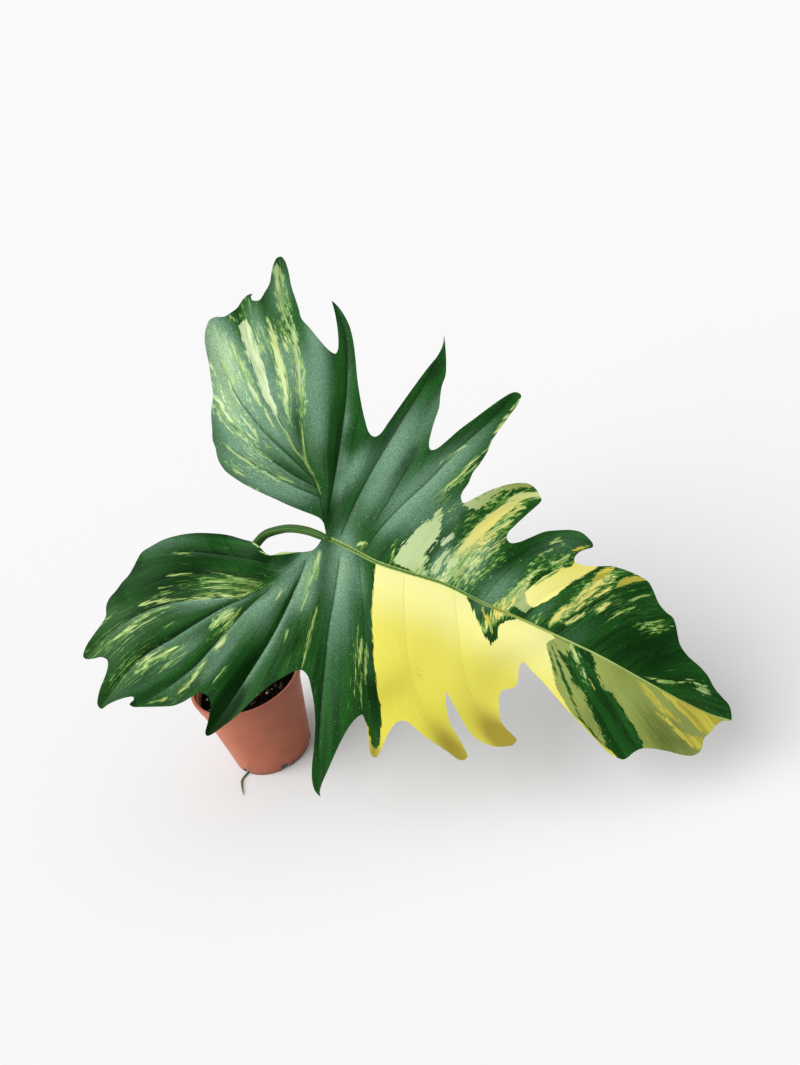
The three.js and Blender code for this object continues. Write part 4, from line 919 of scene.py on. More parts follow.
def blade_grid(outline, lines):
    """Points of the outline and of the lines on it, then an even triangular grid between them."""
    row_step = BLADE_MESH_STEP * math.sqrt(0.75)
    left, top = outline.min(0)
    right, bottom = outline.max(0)
    columns, rows = np.arange(left, right, BLADE_MESH_STEP), np.arange(top, bottom, row_step)
    x, y = (values.ravel() for values in np.meshgrid(columns, rows))
    x = x + (np.round((y - top) / row_step) % 2) * BLADE_MESH_STEP / 2
    line_gap, grid_gap = 0.8 * BLADE_MESH_STEP, 0.6 * BLADE_MESH_STEP
    kept = []
    for points, gap in ((np.vstack(lines), line_gap), (np.column_stack([x, y]), grid_gap)):
        kept.append(points[patch_depth(outline, *points.T) > gap])
    depths = [(lambda a, b, line=line: -nearest_on_line(line, a, b)[0], line) for line in lines]
    clear = deepest(depths, *kept[1].T) < -grid_gap
    return np.vstack([outline, kept[0], kept[1][clear]])


def make_blade():
    """The leaf blade: a thin closed sheet with veins, and the numbers that its colours follow."""
    outline = line_points([point for lobe in BLADE_EDGE.values() for point in lobe], BLADE_MESH_STEP, True)
    thin_streaks = [line for rows in STREAKS.values() for half, line in rows if half < THIN_STREAK]
    lines = (MIDRIB, *UPPER_VEINS, *LOWER_VEINS, *thin_streaks)
    points = blade_grid(outline, [line_points(line, BLADE_MESH_STEP) for line in lines])
    count = len(outline)
    edges = [(i, (i + 1) % count) for i in range(count)]
    result = geometry.delaunay_2d_cdt([Vector(point) for point in points], edges, [], 1, 1e-5)
    points = np.array(result[0])
    faces = [face[::-1] for face in result[2]]
    x, y = points.T
    curves = [MIDRIB_CURVE, *UPPER_CURVES, *LOWER_CURVES]
    distances = np.array([nearest_on_line(curve, x, y)[0] for curve in curves])
    piece = mesh_piece("blade", blade_places(x, y, distances), faces)
    edge = nearest_on_line(np.vstack([outline, outline[:1]]), x, y)[0]
    add_blade_numbers(piece, x, y, distances)
    add_streak_map(piece, x, y)
    add_blade_thickness(piece, x, y, distances, edge)
    piece.data.materials.append(blade_material("waxy_leaf_upper_face", True))
    place_on_part(piece, blade_material("matt_leaf_lower_face", False), "variegated_blade", "leaf_blade")


def add_blade_numbers(piece, x, y, distances):
    """Numbers, mostly distances in picture units, by which the material draws marks and painted light and
    shade.
    """
    distance, _, side = nearest_on_line(line_points(PARTING, LINE_STEP), x, y)
    slimmer = 1 - MIDRIB_SLIMMING * smooth_step(*MIDRIB_SLIMS_BETWEEN, x)
    groove = np.exp(-(distances[0] / MIDRIB_GROOVE_WIDTH)**2)
    add_numbers(piece, "midrib_side", np.clip(distance * side / slimmer, -PATTERN_REACH, PATTERN_REACH))
    add_numbers(piece, "midrib", distances[0])
    add_numbers(piece, "midrib_groove", groove * (1 - smooth_step(*MIDRIB_GROOVE_FADES_BETWEEN, x)))
    for colour, outlines in PATCHES.items():
        reads = [(lambda a, b, line=line: patch_depth(line, a, b), line) for line in outlines.values()]
        add_numbers(piece, colour + "_patch", deepest(reads, x, y))
    for colour, rows in STREAKS.items():
        reads = []
        for half_width, line in rows:
            curve = line_points(line, LINE_STEP)
            reads.append((lambda a, b, curve=curve, half=half_width: streak_depth(half, curve, a, b), line))
        add_numbers(piece, colour + "_streak", deepest(reads, x, y))
    add_vein_numbers(piece, x, y)
    for tone, places in TONES.items():
        total = np.zeros(len(x))
        for px, py, radius, amount in places:
            dx, dy = vein_direction(px, py)
            lengthwise = ((x - px) * dx + (y - py) * dy) / (TONE_OVAL[0] * radius)
            crosswise = ((x - px) * dy - (y - py) * dx) / (TONE_OVAL[1] * radius)
            total += amount * np.exp(-(lengthwise**2 + crosswise**2) / 2)
        add_numbers(piece, tone, np.clip(total, 0, TONE_LIMITS.get(tone, 1)))


def add_vein_numbers(piece, x, y):
    """The nearest vein's distance and side, the painted shade of its crease and its fold's painted light and
    shade.
    """
    reads = [nearest_on_line(curve, x, y) for curve in (*UPPER_CURVES, *LOWER_CURVES)]
    distances, alongs, sides = (np.array(values) for values in zip(*reads))
    nearest, each = distances.argmin(0), np.arange(len(x))
    first, second = np.sort(distances, 0)[:2]
    clear = (second - first) / (second + first)
    part = (alongs / alongs.max(1)[:, None])[nearest, each]
    from_root, to_fold_end, to_line_end = (
        smooth_step(*ends, part) for ends in (FOLD_RISES, FOLD_FADES, VEIN_LINE_FADES))
    folds = np.array([VEIN_FOLDS.get(vein[0], 0) for vein in (*UPPER_VEINS, *LOWER_VEINS)])[nearest]
    crease_shade = np.maximum(VEIN_SHARES[1:], LEAST_CREASE_SHADE)[nearest]
    add_numbers(piece, "vein_side", np.clip(first * sides[nearest, each], -PATTERN_REACH, PATTERN_REACH))
    add_numbers(piece, "vein_crease_shade", crease_shade * clear * (1 - to_line_end))
    add_numbers(piece, "fold", folds * clear * from_root * (1 - to_fold_end) * np.exp(-first / FOLD_REACH))


def vein_direction(px, py):
    """The direction in which the nearest vein runs past a place."""
    curve = min((*UPPER_CURVES, *LOWER_CURVES), key=lambda each: np.hypot(*(each - (px, py)).T).min())
    nearest = min(max(np.hypot(*(curve - (px, py)).T).argmin(), 1), len(curve) - 2)
    step = curve[nearest + 1] - curve[nearest - 1]
    return step / np.hypot(*step)


def add_streak_map(piece, x, y):
    """A UV map whose U runs from vein to vein and V along them, in picture units."""
    upper = np.column_stack(vein_coordinates(UPPER_CURVES, x, y, 1))
    lower = np.column_stack(vein_coordinates(LOWER_CURVES, x, y, -1)) + (1000, 0)
    mesh = piece.data
    corners = np.zeros(len(mesh.loops), int)
    mesh.loops.foreach_get("vertex_index", corners)
    centre_x = x[corners].reshape(-1, 3).mean(1)
    centre_y = y[corners].reshape(-1, 3).mean(1)
    is_lower = np.repeat(nearest_on_line(PARTING, centre_x, centre_y)[2] > 0, 3)
    coordinates = np.where(is_lower[:, None], lower[corners], upper[corners])
    layer = mesh.uv_layers.new(name="streaks")
    layer.data.foreach_set("uv", coordinates.astype(np.float32).ravel())


def add_blade_thickness(piece, x, y, distances, edge):
    """Gives the sheet its thickness: thin at the margin, thick behind the midrib and the veins."""
    distance, along, _ = nearest_on_line(MIDRIB_CURVE, x, y)
    full = BLADE_THICKNESS + MIDRIB_THICKNESS
    strength = (1 - along / along.max())**MIDRIB_TAPER
    rib = MIDRIB_THICKNESS * strength * np.exp(-(distance / MIDRIB_HALF_WIDTH)**2)
    sheet = BLADE_EDGE_THICKNESS + (BLADE_THICKNESS - BLADE_EDGE_THICKNESS) * smooth_step(0, EDGE_TAPER, edge)
    veins = VEIN_THICKNESS * np.exp(-(distances[1:].min(0) / VEIN_HALF_WIDTH)**2)
    veins = veins * smooth_step(0, VEIN_TAPER, edge)
    group = piece.vertex_groups.new(name="thickness")
    for index, share in enumerate(np.clip((rib + sheet + veins) / full, 0, 1)):
        group.add([index], float(share), "REPLACE")
    apply_modifier(piece, "SOLIDIFY", thickness=full, offset=-1, vertex_group="thickness",
                   material_offset=1, material_offset_rim=0)
    shade_smooth(piece, 65)


# Pot

def round_place(angle, radius, height):
    """A place at an angle, in degrees, and a distance from the pot's axis."""
    turn = math.radians(angle)
    return radius * math.cos(turn), radius * math.sin(turn), height


def turn_rings(name, rings, sides):
    """A closed round piece: a filled circle, extruded from ring to ring and resized to each radius."""
    deselect_all()
    radius, height = rings[0]
    bpy.ops.mesh.primitive_circle_add(vertices=sides, radius=radius, fill_type="NGON")
    piece = bpy.context.object
    piece.name = name
    piece.data.name = name
    bpy.ops.object.mode_set(mode="EDIT")
    bpy.ops.mesh.select_all(action="SELECT")
    bpy.ops.transform.translate(value=(0, 0, height))
    for next_radius, next_height in rings[1:]:
        bpy.ops.mesh.extrude_region_move(TRANSFORM_OT_translate={"value": (0, 0, next_height - height)})
        grow = next_radius / radius
        bpy.ops.transform.resize(value=(grow, grow, 1), center_override=(0, 0, 0))
        radius, height = next_radius, next_height
    bpy.ops.object.mode_set(mode="OBJECT")
    return piece


POT_COLLAR_BOTTOM = POT_HEIGHT - POT_COLLAR_DEPTH
POT_COLLAR_RADIUS = POT_RIM_RADIUS - POT_LIP


def pot_outer_radius(height):
    """The radius of the pot's tapered wall."""
    top = POT_COLLAR_RADIUS - POT_COLLAR_STEP
    return POT_BASE_RADIUS + (top - POT_BASE_RADIUS) * height / POT_COLLAR_BOTTOM


def pot_inner_radius(height):
    """The radius inside that wall."""
    return pot_outer_radius(height) - POT_WALL


def make_pot():
    """Nursery pot: tapered wall, stepped collar, rolled lip, foot ring and drain holes."""
    inner_top = POT_COLLAR_RADIUS - POT_WALL
    lip_bottom = POT_HEIGHT - POT_LIP_DEPTH
    rings = [
        (POT_BASE_RADIUS - 6 * MM, 0.8 * MM), (POT_BASE_RADIUS - 5.4 * MM, 0),
        (POT_BASE_RADIUS - 1.2 * MM, 0), (POT_BASE_RADIUS - 0.3 * MM, 0.3 * MM),
        *((pot_outer_radius(height), height) for height in (1.2 * MM, 20 * MM, 50 * MM)),
        (pot_outer_radius(POT_COLLAR_BOTTOM - MM), POT_COLLAR_BOTTOM - MM),
        (pot_outer_radius(POT_COLLAR_BOTTOM) + 0.2 * MM, POT_COLLAR_BOTTOM - 0.2 * MM),
        (POT_COLLAR_RADIUS - 0.4 * MM, POT_COLLAR_BOTTOM + 0.3 * MM),
        (POT_COLLAR_RADIUS, POT_COLLAR_BOTTOM + 0.9 * MM), (POT_COLLAR_RADIUS, lip_bottom - 0.5 * MM),
        (POT_COLLAR_RADIUS + 0.2 * MM, lip_bottom), (POT_RIM_RADIUS - 0.5 * MM, lip_bottom + 0.15 * MM),
        (POT_RIM_RADIUS, lip_bottom + 0.7 * MM), (POT_RIM_RADIUS, POT_HEIGHT - 0.8 * MM),
        (POT_RIM_RADIUS - 0.25 * MM, POT_HEIGHT - 0.25 * MM), (POT_RIM_RADIUS - 0.8 * MM, POT_HEIGHT),
        (inner_top + 0.7 * MM, POT_HEIGHT), (inner_top + 0.2 * MM, POT_HEIGHT - 0.25 * MM),
        (inner_top, POT_HEIGHT - 0.8 * MM), (inner_top, POT_COLLAR_BOTTOM + 2.4 * MM),
        (pot_inner_radius(POT_COLLAR_BOTTOM), POT_COLLAR_BOTTOM + 1.2 * MM),
        (pot_inner_radius(POT_FLOOR + 2 * MM), POT_FLOOR + 2 * MM),
        (pot_inner_radius(POT_FLOOR) - 1.4 * MM, POT_FLOOR),
    ]
    pot = turn_rings("nursery_pot", rings, POT_SIDES)
    for hole in range(DRAIN_HOLES):
        angle = DRAIN_FIRST_ANGLE + hole / DRAIN_HOLES * 360
        deselect_all()
        bpy.ops.mesh.primitive_cylinder_add(
            vertices=40, radius=DRAIN_HOLE_RADIUS, depth=2 * DRAIN_HOLE_HEIGHT,
            location=round_place(angle, DRAIN_CIRCLE_RADIUS, 0))
        cutter = bpy.context.object
        apply_modifier(pot, "BOOLEAN", operation="DIFFERENCE", solver="EXACT", object=cutter)
        bpy.data.objects.remove(cutter)
    apply_modifier(pot, "BEVEL", width=0.15 * MM, segments=2, limit_method="ANGLE",
                   angle_limit=math.radians(50), use_clamp_overlap=True)
    shade_smooth(pot, 30)
    place_on_part(pot, pot_material(), "terracotta_plastic", "pot")


# Potting mix

def make_potting_mix():
    """A body of potting mix, with a rough top where it is seen, and the loose bits that lie on it."""
    bottom = POT_FLOOR + GAP
    shoulder_height = SOIL_TOP - MM
    shoulder = pot_inner_radius(shoulder_height) - GAP
    rings = [(pot_inner_radius(bottom) - 1.6 * MM, bottom), (pot_inner_radius(4 * MM) - GAP, 4 * MM),
             (pot_inner_radius(40 * MM) - GAP, 40 * MM), (shoulder, shoulder_height)]
    for ring in range(1, SOIL_RINGS):
        share = ring / SOIL_RINGS
        mound = min(1, share * SOIL_RINGS / 4) * MM + SOIL_MOUND * share
        rings.append((shoulder * (1 - share), shoulder_height + mound))
    mix = turn_rings("potting_mix", rings, SOIL_SIDES)
    top = mix.vertex_groups.new(name="top")
    top.add([v.index for v in mix.data.vertices if v.co.z > shoulder_height + 0.5 * MM], 1, "REPLACE")
    roughen(mix, "clods", CLOD_SIZE, CLOD_HEIGHT, 3, direction="Z", vertex_group="top")
    roughen(mix, "crumb", CRUMB_SIZE, CRUMB_HEIGHT, 3, direction="Z", vertex_group="top")
    shade_smooth(mix, 60)
    place_on_part(mix, mix_material(), "potting_mix", "soil")
    for name, shape, count, sizes, flatness, seed, finish in (
            ("mix_crumbs", make_lump(1, 1.2), 1100, (0.5 * MM, 1.5 * MM), 0.7, 21, crumb_material()),
            ("bark_chips", make_chip(), 46, (2.2 * MM, 4.6 * MM), 1.0, 5, bark_chip_material()),
            ("perlite_grains", make_lump(2, 0.88), 42, (0.7 * MM, 1.8 * MM), 0.8, 20, perlite_material())):
        bits = scatter_on_mix(name, mix, shape, count, sizes, flatness, seed)
        place_on_part(bits, finish, "potting_mix")


def make_lump(subdivisions, height):
    """One lump of radius 1 m, roughened by a height, as points and faces to copy."""
    deselect_all()
    bpy.ops.mesh.primitive_ico_sphere_add(subdivisions=subdivisions, radius=1)
    lump = bpy.context.object
    roughen(lump, "lump", 0.7, height)
    return take_shape(lump)


def make_chip():
    """One flat chip of bark with broken ends, half its length 1 m, as points and faces to copy."""
    deselect_all()
    bpy.ops.mesh.primitive_cube_add(size=2)
    chip = bpy.context.object
    bpy.ops.object.mode_set(mode="EDIT")
    bpy.ops.transform.resize(value=CHIP_SHAPE, center_override=(0, 0, 0))
    bpy.ops.mesh.subdivide(number_cuts=3)
    bpy.ops.object.mode_set(mode="OBJECT")
    roughen(chip, "splinters", 0.5, 0.35)
    apply_modifier(chip, "BEVEL", width=0.03, segments=1, limit_method="ANGLE", angle_limit=math.radians(40))
    return take_shape(chip)


def take_shape(piece):
    """The points and faces of a model to copy, which itself goes away."""
    points = np.array([tuple(vertex.co) for vertex in piece.data.vertices])
    faces = [tuple(polygon.vertices) for polygon in piece.data.polygons]
    bpy.data.objects.remove(piece)
    return points, faces


def scatter_on_mix(name, mix, shape, count, sizes, flatness, seed):
    """Loose bits on top of the mix: copies of one shape, each with its own place, size and turn."""
    random = np.random.default_rng(seed)
    points, faces = shape
    outer = pot_inner_radius(SOIL_TOP) - sizes[1] - MM
    vertices, rows = [], []
    while len(rows) < count * len(faces):
        radius = math.sqrt(random.uniform((STEM_RADIUS + sizes[0])**2, outer**2))
        angle = random.uniform(0, 2 * math.pi)
        size = sizes[0] + (sizes[1] - sizes[0]) * random.random()**2
        tilt = (random.normal(0, LOOSE_TILT), random.normal(0, LOOSE_TILT), random.uniform(0, 2 * math.pi))
        stretch = random.uniform(*LOOSE_STRETCH, 3) * (1, 1, flatness)
        start = Vector((radius * math.cos(angle), radius * math.sin(angle), POT_HEIGHT))
        _, place, _, _ = mix.ray_cast(start, Vector((0, 0, -1)))
        base = len(vertices)
        turned = (points * stretch * size) @ np.array(Euler(tilt).to_matrix()).T
        vertices += [tuple(Vector(point) + place) for point in turned]
        rows += [tuple(base + index for index in face) for face in faces]
    return mesh_piece(name, vertices, rows)


# Stem, roots, growing tip and stalk

def grow_tube(name, line, radii, half_sides, step):
    """A closed round tube along a line: a bevelled curve made a mesh, its radii at even places along it."""
    path = line_points(line, step)
    lengths = np.concatenate([[0], np.cumsum(np.linalg.norm(np.diff(path, axis=0), axis=1))])
    shares = lengths / lengths[-1]
    curve = bpy.data.curves.new(name, "CURVE")
    curve.dimensions = "3D"
    curve.bevel_depth = 1
    curve.bevel_resolution = half_sides - 2
    curve.use_fill_caps = True
    spline = curve.splines.new("POLY")
    spline.points.add(len(path) - 1)
    for point, place, share in zip(spline.points, path, shares):
        point.co = (*place, 1)
        point.radius = float(np.interp(share, np.linspace(0, 1, len(radii)), radii))
    piece = bpy.data.objects.new(name, curve)
    bpy.context.scene.collection.objects.link(piece)
    make_active(piece)
    bpy.ops.object.convert(target="MESH")
    piece = bpy.context.object
    clean_mesh(piece)
    add_fibre_numbers(piece, lengths[-1])
    shade_smooth(piece, 60)
    return piece


def add_fibre_numbers(piece, length):
    """Each vertex's place on a straight tube of radius 1, in metres along it, for lengthwise marks."""
    mesh = piece.data
    places = np.zeros((len(mesh.vertices), 3), np.float32)
    layer = mesh.uv_layers[0].data
    for polygon in mesh.polygons:
        if len(polygon.vertices) != 4:
            continue
        for corner, vertex in zip(polygon.loop_indices, polygon.vertices):
            along, turn = layer[corner].uv
            places[vertex] = (math.cos(2 * math.pi * turn), math.sin(2 * math.pi * turn), along * length)
    attribute = mesh.attributes.new("fibres", "FLOAT_VECTOR", "POINT")
    attribute.data.foreach_set("vector", places.ravel())


def leaf_scar(x, y, z):
    """How far a place on the stem stands out as a leaf scar. The scars are uneven and lean to either side."""
    if z < SOIL_TOP + 2 * MM:
        return 0.0
    nearness = []
    for number in range(1, STEM_SCARS + 1):
        height = STEM_TOP - STEM_RING_SPACING * (number + STEM_SCAR_UNEVENNESS * math.sin(5 * number))
        turn = 2.6 * number
        lean = STEM_SCAR_LEAN * (x * math.cos(turn) + y * math.sin(turn))
        nearness.append(math.exp(-((z - height - lean) / STEM_SCAR_WIDTH)**2))
    return max(nearness)


def make_stem():
    """A short thick stem with a ring where each old leaf was, and roots that go down into the mix."""
    base = STEM_RADIUS - STEM_RING_RELIEF
    rings = [(base, STEM_BOTTOM + step * MM) for step in range(int((STEM_TOP - STEM_BOTTOM - 3 * MM) / MM))]
    rings += [(base - 0.2 * MM, STEM_TOP - 2.4 * MM), (base - 1.2 * MM, STEM_TOP - 1.0 * MM),
              (base - 2.8 * MM, STEM_TOP)]
    stem = turn_rings("ringed_stem", rings, 64)
    scars = [leaf_scar(*vertex.co) for vertex in stem.data.vertices]
    group = stem.vertex_groups.new(name="scars")
    for index, scar in enumerate(scars):
        group.add([index], scar, "REPLACE")
    apply_modifier(stem, "DISPLACE", strength=STEM_RING_RELIEF, mid_level=0, vertex_group="scars")
    add_numbers(stem, "scar", scars)
    roughen(stem, "bark", 5 * MM, 0.9 * MM, mid_level=0.6)
    shade_smooth(stem, 60)
    place_on_part(stem, stem_material(), "green_bark", "stem")
    for number, (angle, start, reach, end) in enumerate(AERIAL_ROOTS, 1):
        line = [
            round_place(angle, STEM_RADIUS / 2, start), round_place(angle, STEM_RADIUS + MM, start - 2 * MM),
            round_place(angle, reach - MM, (start + SOIL_TOP) / 2 + 3 * MM),
            round_place(angle, reach, SOIL_TOP - MM), round_place(angle, reach, end),
        ]
        radii = [AERIAL_ROOT_RADIUS * share for share in (1.2, 1.1, 1.0, 0.9, 0.8)]
        root = grow_tube(f"aerial_root_{number}", line, radii, 10, MM)
        place_on_part(root, root_material("corky_aerial_root", "#7a5f3c", "#a08a5c"), "green_bark")


def make_growing_tip():
    """The rolled next leaf in its pointed sheath."""
    line = [
        (-5.8 * MM, 1.5 * MM, STEM_TOP - MM), (-5.9 * MM, 1.6 * MM, STEM_TOP + TIP_LENGTH * 0.3),
        (-7.2 * MM, 2.2 * MM, STEM_TOP + TIP_LENGTH * 0.7), (-10.5 * MM, 3.4 * MM, STEM_TOP + TIP_LENGTH),
    ]
    radii = [TIP_RADIUS * share for share in (0.96, 1, 0.96, 0.84, 0.7, 0.5, 0.1)]
    tip = grow_tube("new_leaf_sheath", line, radii, 12, MM)
    skin = stalk_material("soft_leaf_sheath", "#4a6626", "#78923c")
    place_on_part(tip, skin, "leaf_sheath", "growing_tip")


def make_stalk():
    """The leaf stalk: thick where it clasps the stem, then slim, and grown into the blade's midrib."""
    x, y, behind = np.array(STALK_END).T
    end = blade_places(x, y, np.zeros((1, len(x)))) + sight_lines(x, y) * behind[:, None] * MM
    stalk = grow_tube("leaf_stalk", [*PETIOLE_PATH, *map(tuple, end)], PETIOLE_RADII, 16, 1.5 * MM)
    skin = stalk_material("smooth_leaf_stalk", "#122d05", "#2f5219")
    place_on_part(stalk, skin, "leaf_stalk", "petiole")


def make_drain_root():
    """A thin root that has come out through a drain hole and lies on the surface."""
    line = [(x * MM, y * MM, DRAIN_ROOT_RADIUS + 0.1 * MM) for x, y in DRAIN_ROOT_PATH]
    radii = [DRAIN_ROOT_RADIUS * share for share in (1, 1.05, 0.95, 0.85, 0.6, 0.3)]
    root = grow_tube("escaped_root", line, radii, 8, MM)
    place_on_part(root, root_material("thin_green_root", "#3c4d26", "#6f7a48"), "root", "drain_root")


# Materials

def new_material(name):
    """An empty material."""
    material = bpy.data.materials.new(name)
    material.use_nodes = True
    return material


def set_inputs(material, node, inputs):
    """Sets a node's inputs, or links them to another node or to one of its outputs."""
    for name, value in inputs.items():
        if isinstance(value, bpy.types.Node):
            value = next(output for output in value.outputs if output.enabled)
        if isinstance(value, bpy.types.NodeSocket):
            material.node_tree.links.new(value, node.inputs[name])
        else:
            node.inputs[name].default_value = value


def add_node(material, kind, inputs=None, **settings):
    """Adds a node with its settings and links."""
    node = material.node_tree.nodes.new(kind)
    for name, value in settings.items():
        setattr(node, name, value)
    set_inputs(material, node, inputs or {})
    return node


def finish_shader(material, inputs, relief=None, depth=0.0):
    """Sets or links the shader's inputs, and links a relief with its depth in metres."""
    if relief:
        bump = add_node(material, "ShaderNodeBump", {"Height": relief, "Distance": depth, "Strength": 1.0})
        inputs = {**inputs, "Normal": bump}
    set_inputs(material, material.node_tree.nodes["Principled BSDF"], inputs)
    return material


def paint_coats(material, colour, *coats):
    """Lays coats over a colour. Each has its colour, and a value with the ends between which it comes in."""
    under = hex_colour(colour) if isinstance(colour, str) else colour
    for coat, value, low, high in coats:
        share = add_node(material, "ShaderNodeMapRange", {"Value": value, "From Min": low, "From Max": high},
                         interpolation_type="SMOOTHSTEP")
        over = hex_colour(coat) if isinstance(coat, str) else coat
        under = add_node(material, "ShaderNodeMix", {0: share, 6: under, 7: over}, data_type="RGBA")
    return under


def mark_noise(material, places, sizes, detail, roughness, shift=0.0):
    """Noise whose marks have a size in each direction, in the units of the places that it is drawn on."""
    drawn = add_node(material, "ShaderNodeMapping", {
        "Vector": places, "Scale": [1 / size for size in sizes], "Location": (shift, shift, shift)})
    return add_node(material, "ShaderNodeTexNoise", {
        "Vector": drawn, "Scale": 1.0, "Detail": detail, "Roughness": roughness})


def streaky_noise(material, width, length, shift, detail):
    """Noise drawn out along the veins, its streaks of a width and a length in mm."""
    places = add_node(material, "ShaderNodeUVMap", uv_map="streaks")
    sizes = (width * MM / PICTURE_UNIT, length * MM / PICTURE_UNIT, 1)
    return mark_noise(material, places, sizes, detail, 0.55, shift)


def object_noise(material, size, detail=3.0, roughness=0.55):
    """Even noise on the piece itself, its marks of a size in metres."""
    places = add_node(material, "ShaderNodeTexCoord").outputs["Object"]
    return mark_noise(material, places, (size, size, size), detail, roughness)


def fibre_noise(material, round_count, length):
    """Noise that runs lengthwise on a tube: about so many marks round it, each of a length in metres."""
    places = add_node(material, "ShaderNodeAttribute", attribute_name="fibres").outputs["Vector"]
    width = 6 / round_count
    return mark_noise(material, places, (width, width, length), 3.0, 0.5)


def ragged_depth(material, depth, noise, swing, rise, reach=1.0):
    """The depth in a patch or streak, moved by a noise so that its border is ragged."""
    border = add_node(material, "ShaderNodeMath", {0: noise, 1: swing, 2: rise}, operation="MULTIPLY_ADD")
    return add_node(material, "ShaderNodeMath", {0: border, 1: reach, 2: depth}, operation="MULTIPLY_ADD")


def blade_material(name, is_upper):
    """Leaf skin: above, a wax layer gives half gloss, and a greyish sheen is painted on; below, it is paler
    and dull.
    """
    material = new_material(name)

    # Marks along the veins, from broad bands to threads, the finest as coarse as they need to be to show
    broad, clusters, fine, spongy, hair, long_lines = (streaky_noise(material, *marks) for marks in (
        (6.4, 72, 3.1, 2.0), (4, 20.8, 5.3, 2.0), (1.04, 8.8, 11.7, 5.0), (1.52, 5.6, 41.3, 5.0),
        (0.8, 19.2, 19.3, 3.0), (1.44, 48, 27.3, 3.0)))
    grain = object_noise(material, CELL_SIZE, 2.0, 0.7)
    number = {
        part: add_node(material, "ShaderNodeAttribute", attribute_name=part).outputs["Fac"]
        for part in ("midrib_side", "midrib", "midrib_groove", "vein_side", "vein_crease_shade", "fold", *TONES,
                     *(patch + "_patch" for patch in PATCHES), *(streak + "_streak" for streak in STREAKS))}

    # Painted light and shade of a fold: one side is painted lighter, the other darker
    turned = add_node(material, "ShaderNodeMapRange", {
        "Value": number["vein_side"], "From Min": -0.8, "From Max": 0.8, "To Min": -1.0})
    painted_fold_light = add_node(material, "ShaderNodeMath", {0: number["fold"], 1: turned}, operation="MULTIPLY")
    painted_sheen = add_node(material, "ShaderNodeMath", {0: number["painted_sheen"], 1: painted_fold_light}, operation="ADD")
    shade = add_node(material, "ShaderNodeMath", {0: number["shade"], 1: painted_fold_light}, operation="SUBTRACT")
    vein, rib = (add_node(material, "ShaderNodeMath", {0: number[side]}, operation="ABSOLUTE")
                 for side in ("vein_side", "midrib_side"))
    vein = add_node(material, "ShaderNodeMapRange", {
        "Value": vein, "From Min": 1.5, "From Max": 0.1, "To Max": number["vein_crease_shade"]})

    # Noises that a tone raises by a share of itself, so that more marks show where it is strong
    mark = {"spongy": spongy, "hair": hair, "fine": fine, "grain": grain}
    for kind, noise, tone, share in (
            ("grouped", "spongy", clusters, 0.45), ("fleck", "grouped", number["flecks"], 0.4),
            ("thread", "hair", number["threads"], 0.25), ("dash", "fine", number["threads"], 0.26),
            ("speck", "grain", number["specks"], 0.25), ("pale_specks", "grain", shade, -0.12),
            ("cells", "grain", long_lines, 0.3)):
        mark[kind] = add_node(material, "ShaderNodeMath", {0: tone, 1: share, 2: mark[noise]},
                              operation="MULTIPLY_ADD")

    # Green ground with pale marks, with painted sheen and painted shade
    lime = paint_coats(material, "#4b6f2c", ("#86965a", hair, 0.4, 0.62), ("#a0b382", painted_sheen, 0.2, 1.4))
    straw = paint_coats(material, "#9fad74", ("#839358", hair, 0.42, 0.62), ("#b0bb93", painted_sheen, 0.2, 1.3),
                        ("#b3ab5c", number["butter"], 0.0, 1.0))
    hairline = paint_coats(material, "#587c3a", ("#94a97a", painted_sheen, 0.2, 1.2))
    halo = paint_coats(material, "#35601f", ("#6a8b62", painted_sheen, 0.2, 1.0))
    green = paint_coats(
        material, "#072c06", ("#12400f", broad, 0.35, 0.65), ("#183f0e", number["warm"], 0.0, 1.0),
        ("#517059", painted_sheen, 0.0, 1.0), ("#76906f", painted_sheen, 0.8, 2.0), ("#041c03", shade, 0.0, 1.1))
    # A line of painted shade in each vein's crease
    green = add_node(material, "ShaderNodeMix", {0: vein, 6: green, 7: hex_colour("#93a28a")},
                     data_type="RGBA", blend_type="MULTIPLY")
    # Pale specks, fewer under the painted shade, then threads, dashes and flecks
    green = paint_coats(
        material, green, ("#6f8f69", mark["pale_specks"], 0.67, 0.81), (hairline, mark["thread"], 0.66, 0.86),
        (hairline, mark["dash"], 0.73, 0.82), (halo, mark["fleck"], 0.97, 1.08),
        (lime, mark["fleck"], 1.06, 1.14), (straw, mark["fleck"], 1.16, 1.26))
    lightness = add_node(material, "ShaderNodeMapRange", {
        "Value": grain, "From Min": 0.3, "From Max": 0.7, "To Min": 0.62, "To Max": 1.38})
    green = add_node(material, "ShaderNodeHueSaturation", {"Color": green, "Value": lightness})

    # Skin without green, from sage to old gold
    sage = paint_coats(
        material, "#6f7a3c", ("#3c4815", number["ripe"], 0.0, 1.0), ("#94a577", number["pale"], 0.0, 1.0),
        ("#65773a", long_lines, 0.56, 0.8), ("#8a955a", hair, 0.5, 0.95))
    cream = paint_coats(material, "#9dab87", ("#7d915f", hair, 0.44, 0.68))
    # Yellow darkens away from the midrib: its own colour, and painted shade where the lobes curl away from
    # the light
    yellow = paint_coats(
        material, "#bfbd7b", ("#b0aa45", number["midrib"], 6, 70), ("#a8a238", number["midrib"], 60, 135),
        ("#bcb86c", long_lines, 0.62, 0.85), ("#c2bd72", number["butter"], 0.0, 1.8),
        # painted crease shade along the veins, and browning that is partly painted shade at the lobe tips
        ("#9a9240", vein, 0.0, 1.4), ("#7d7026", number["browning_and_painted_shade"], 0.1, 1.1))
    gold = paint_coats(material, "#a19a3c", ("#86812d", broad, 0.4, 0.6))

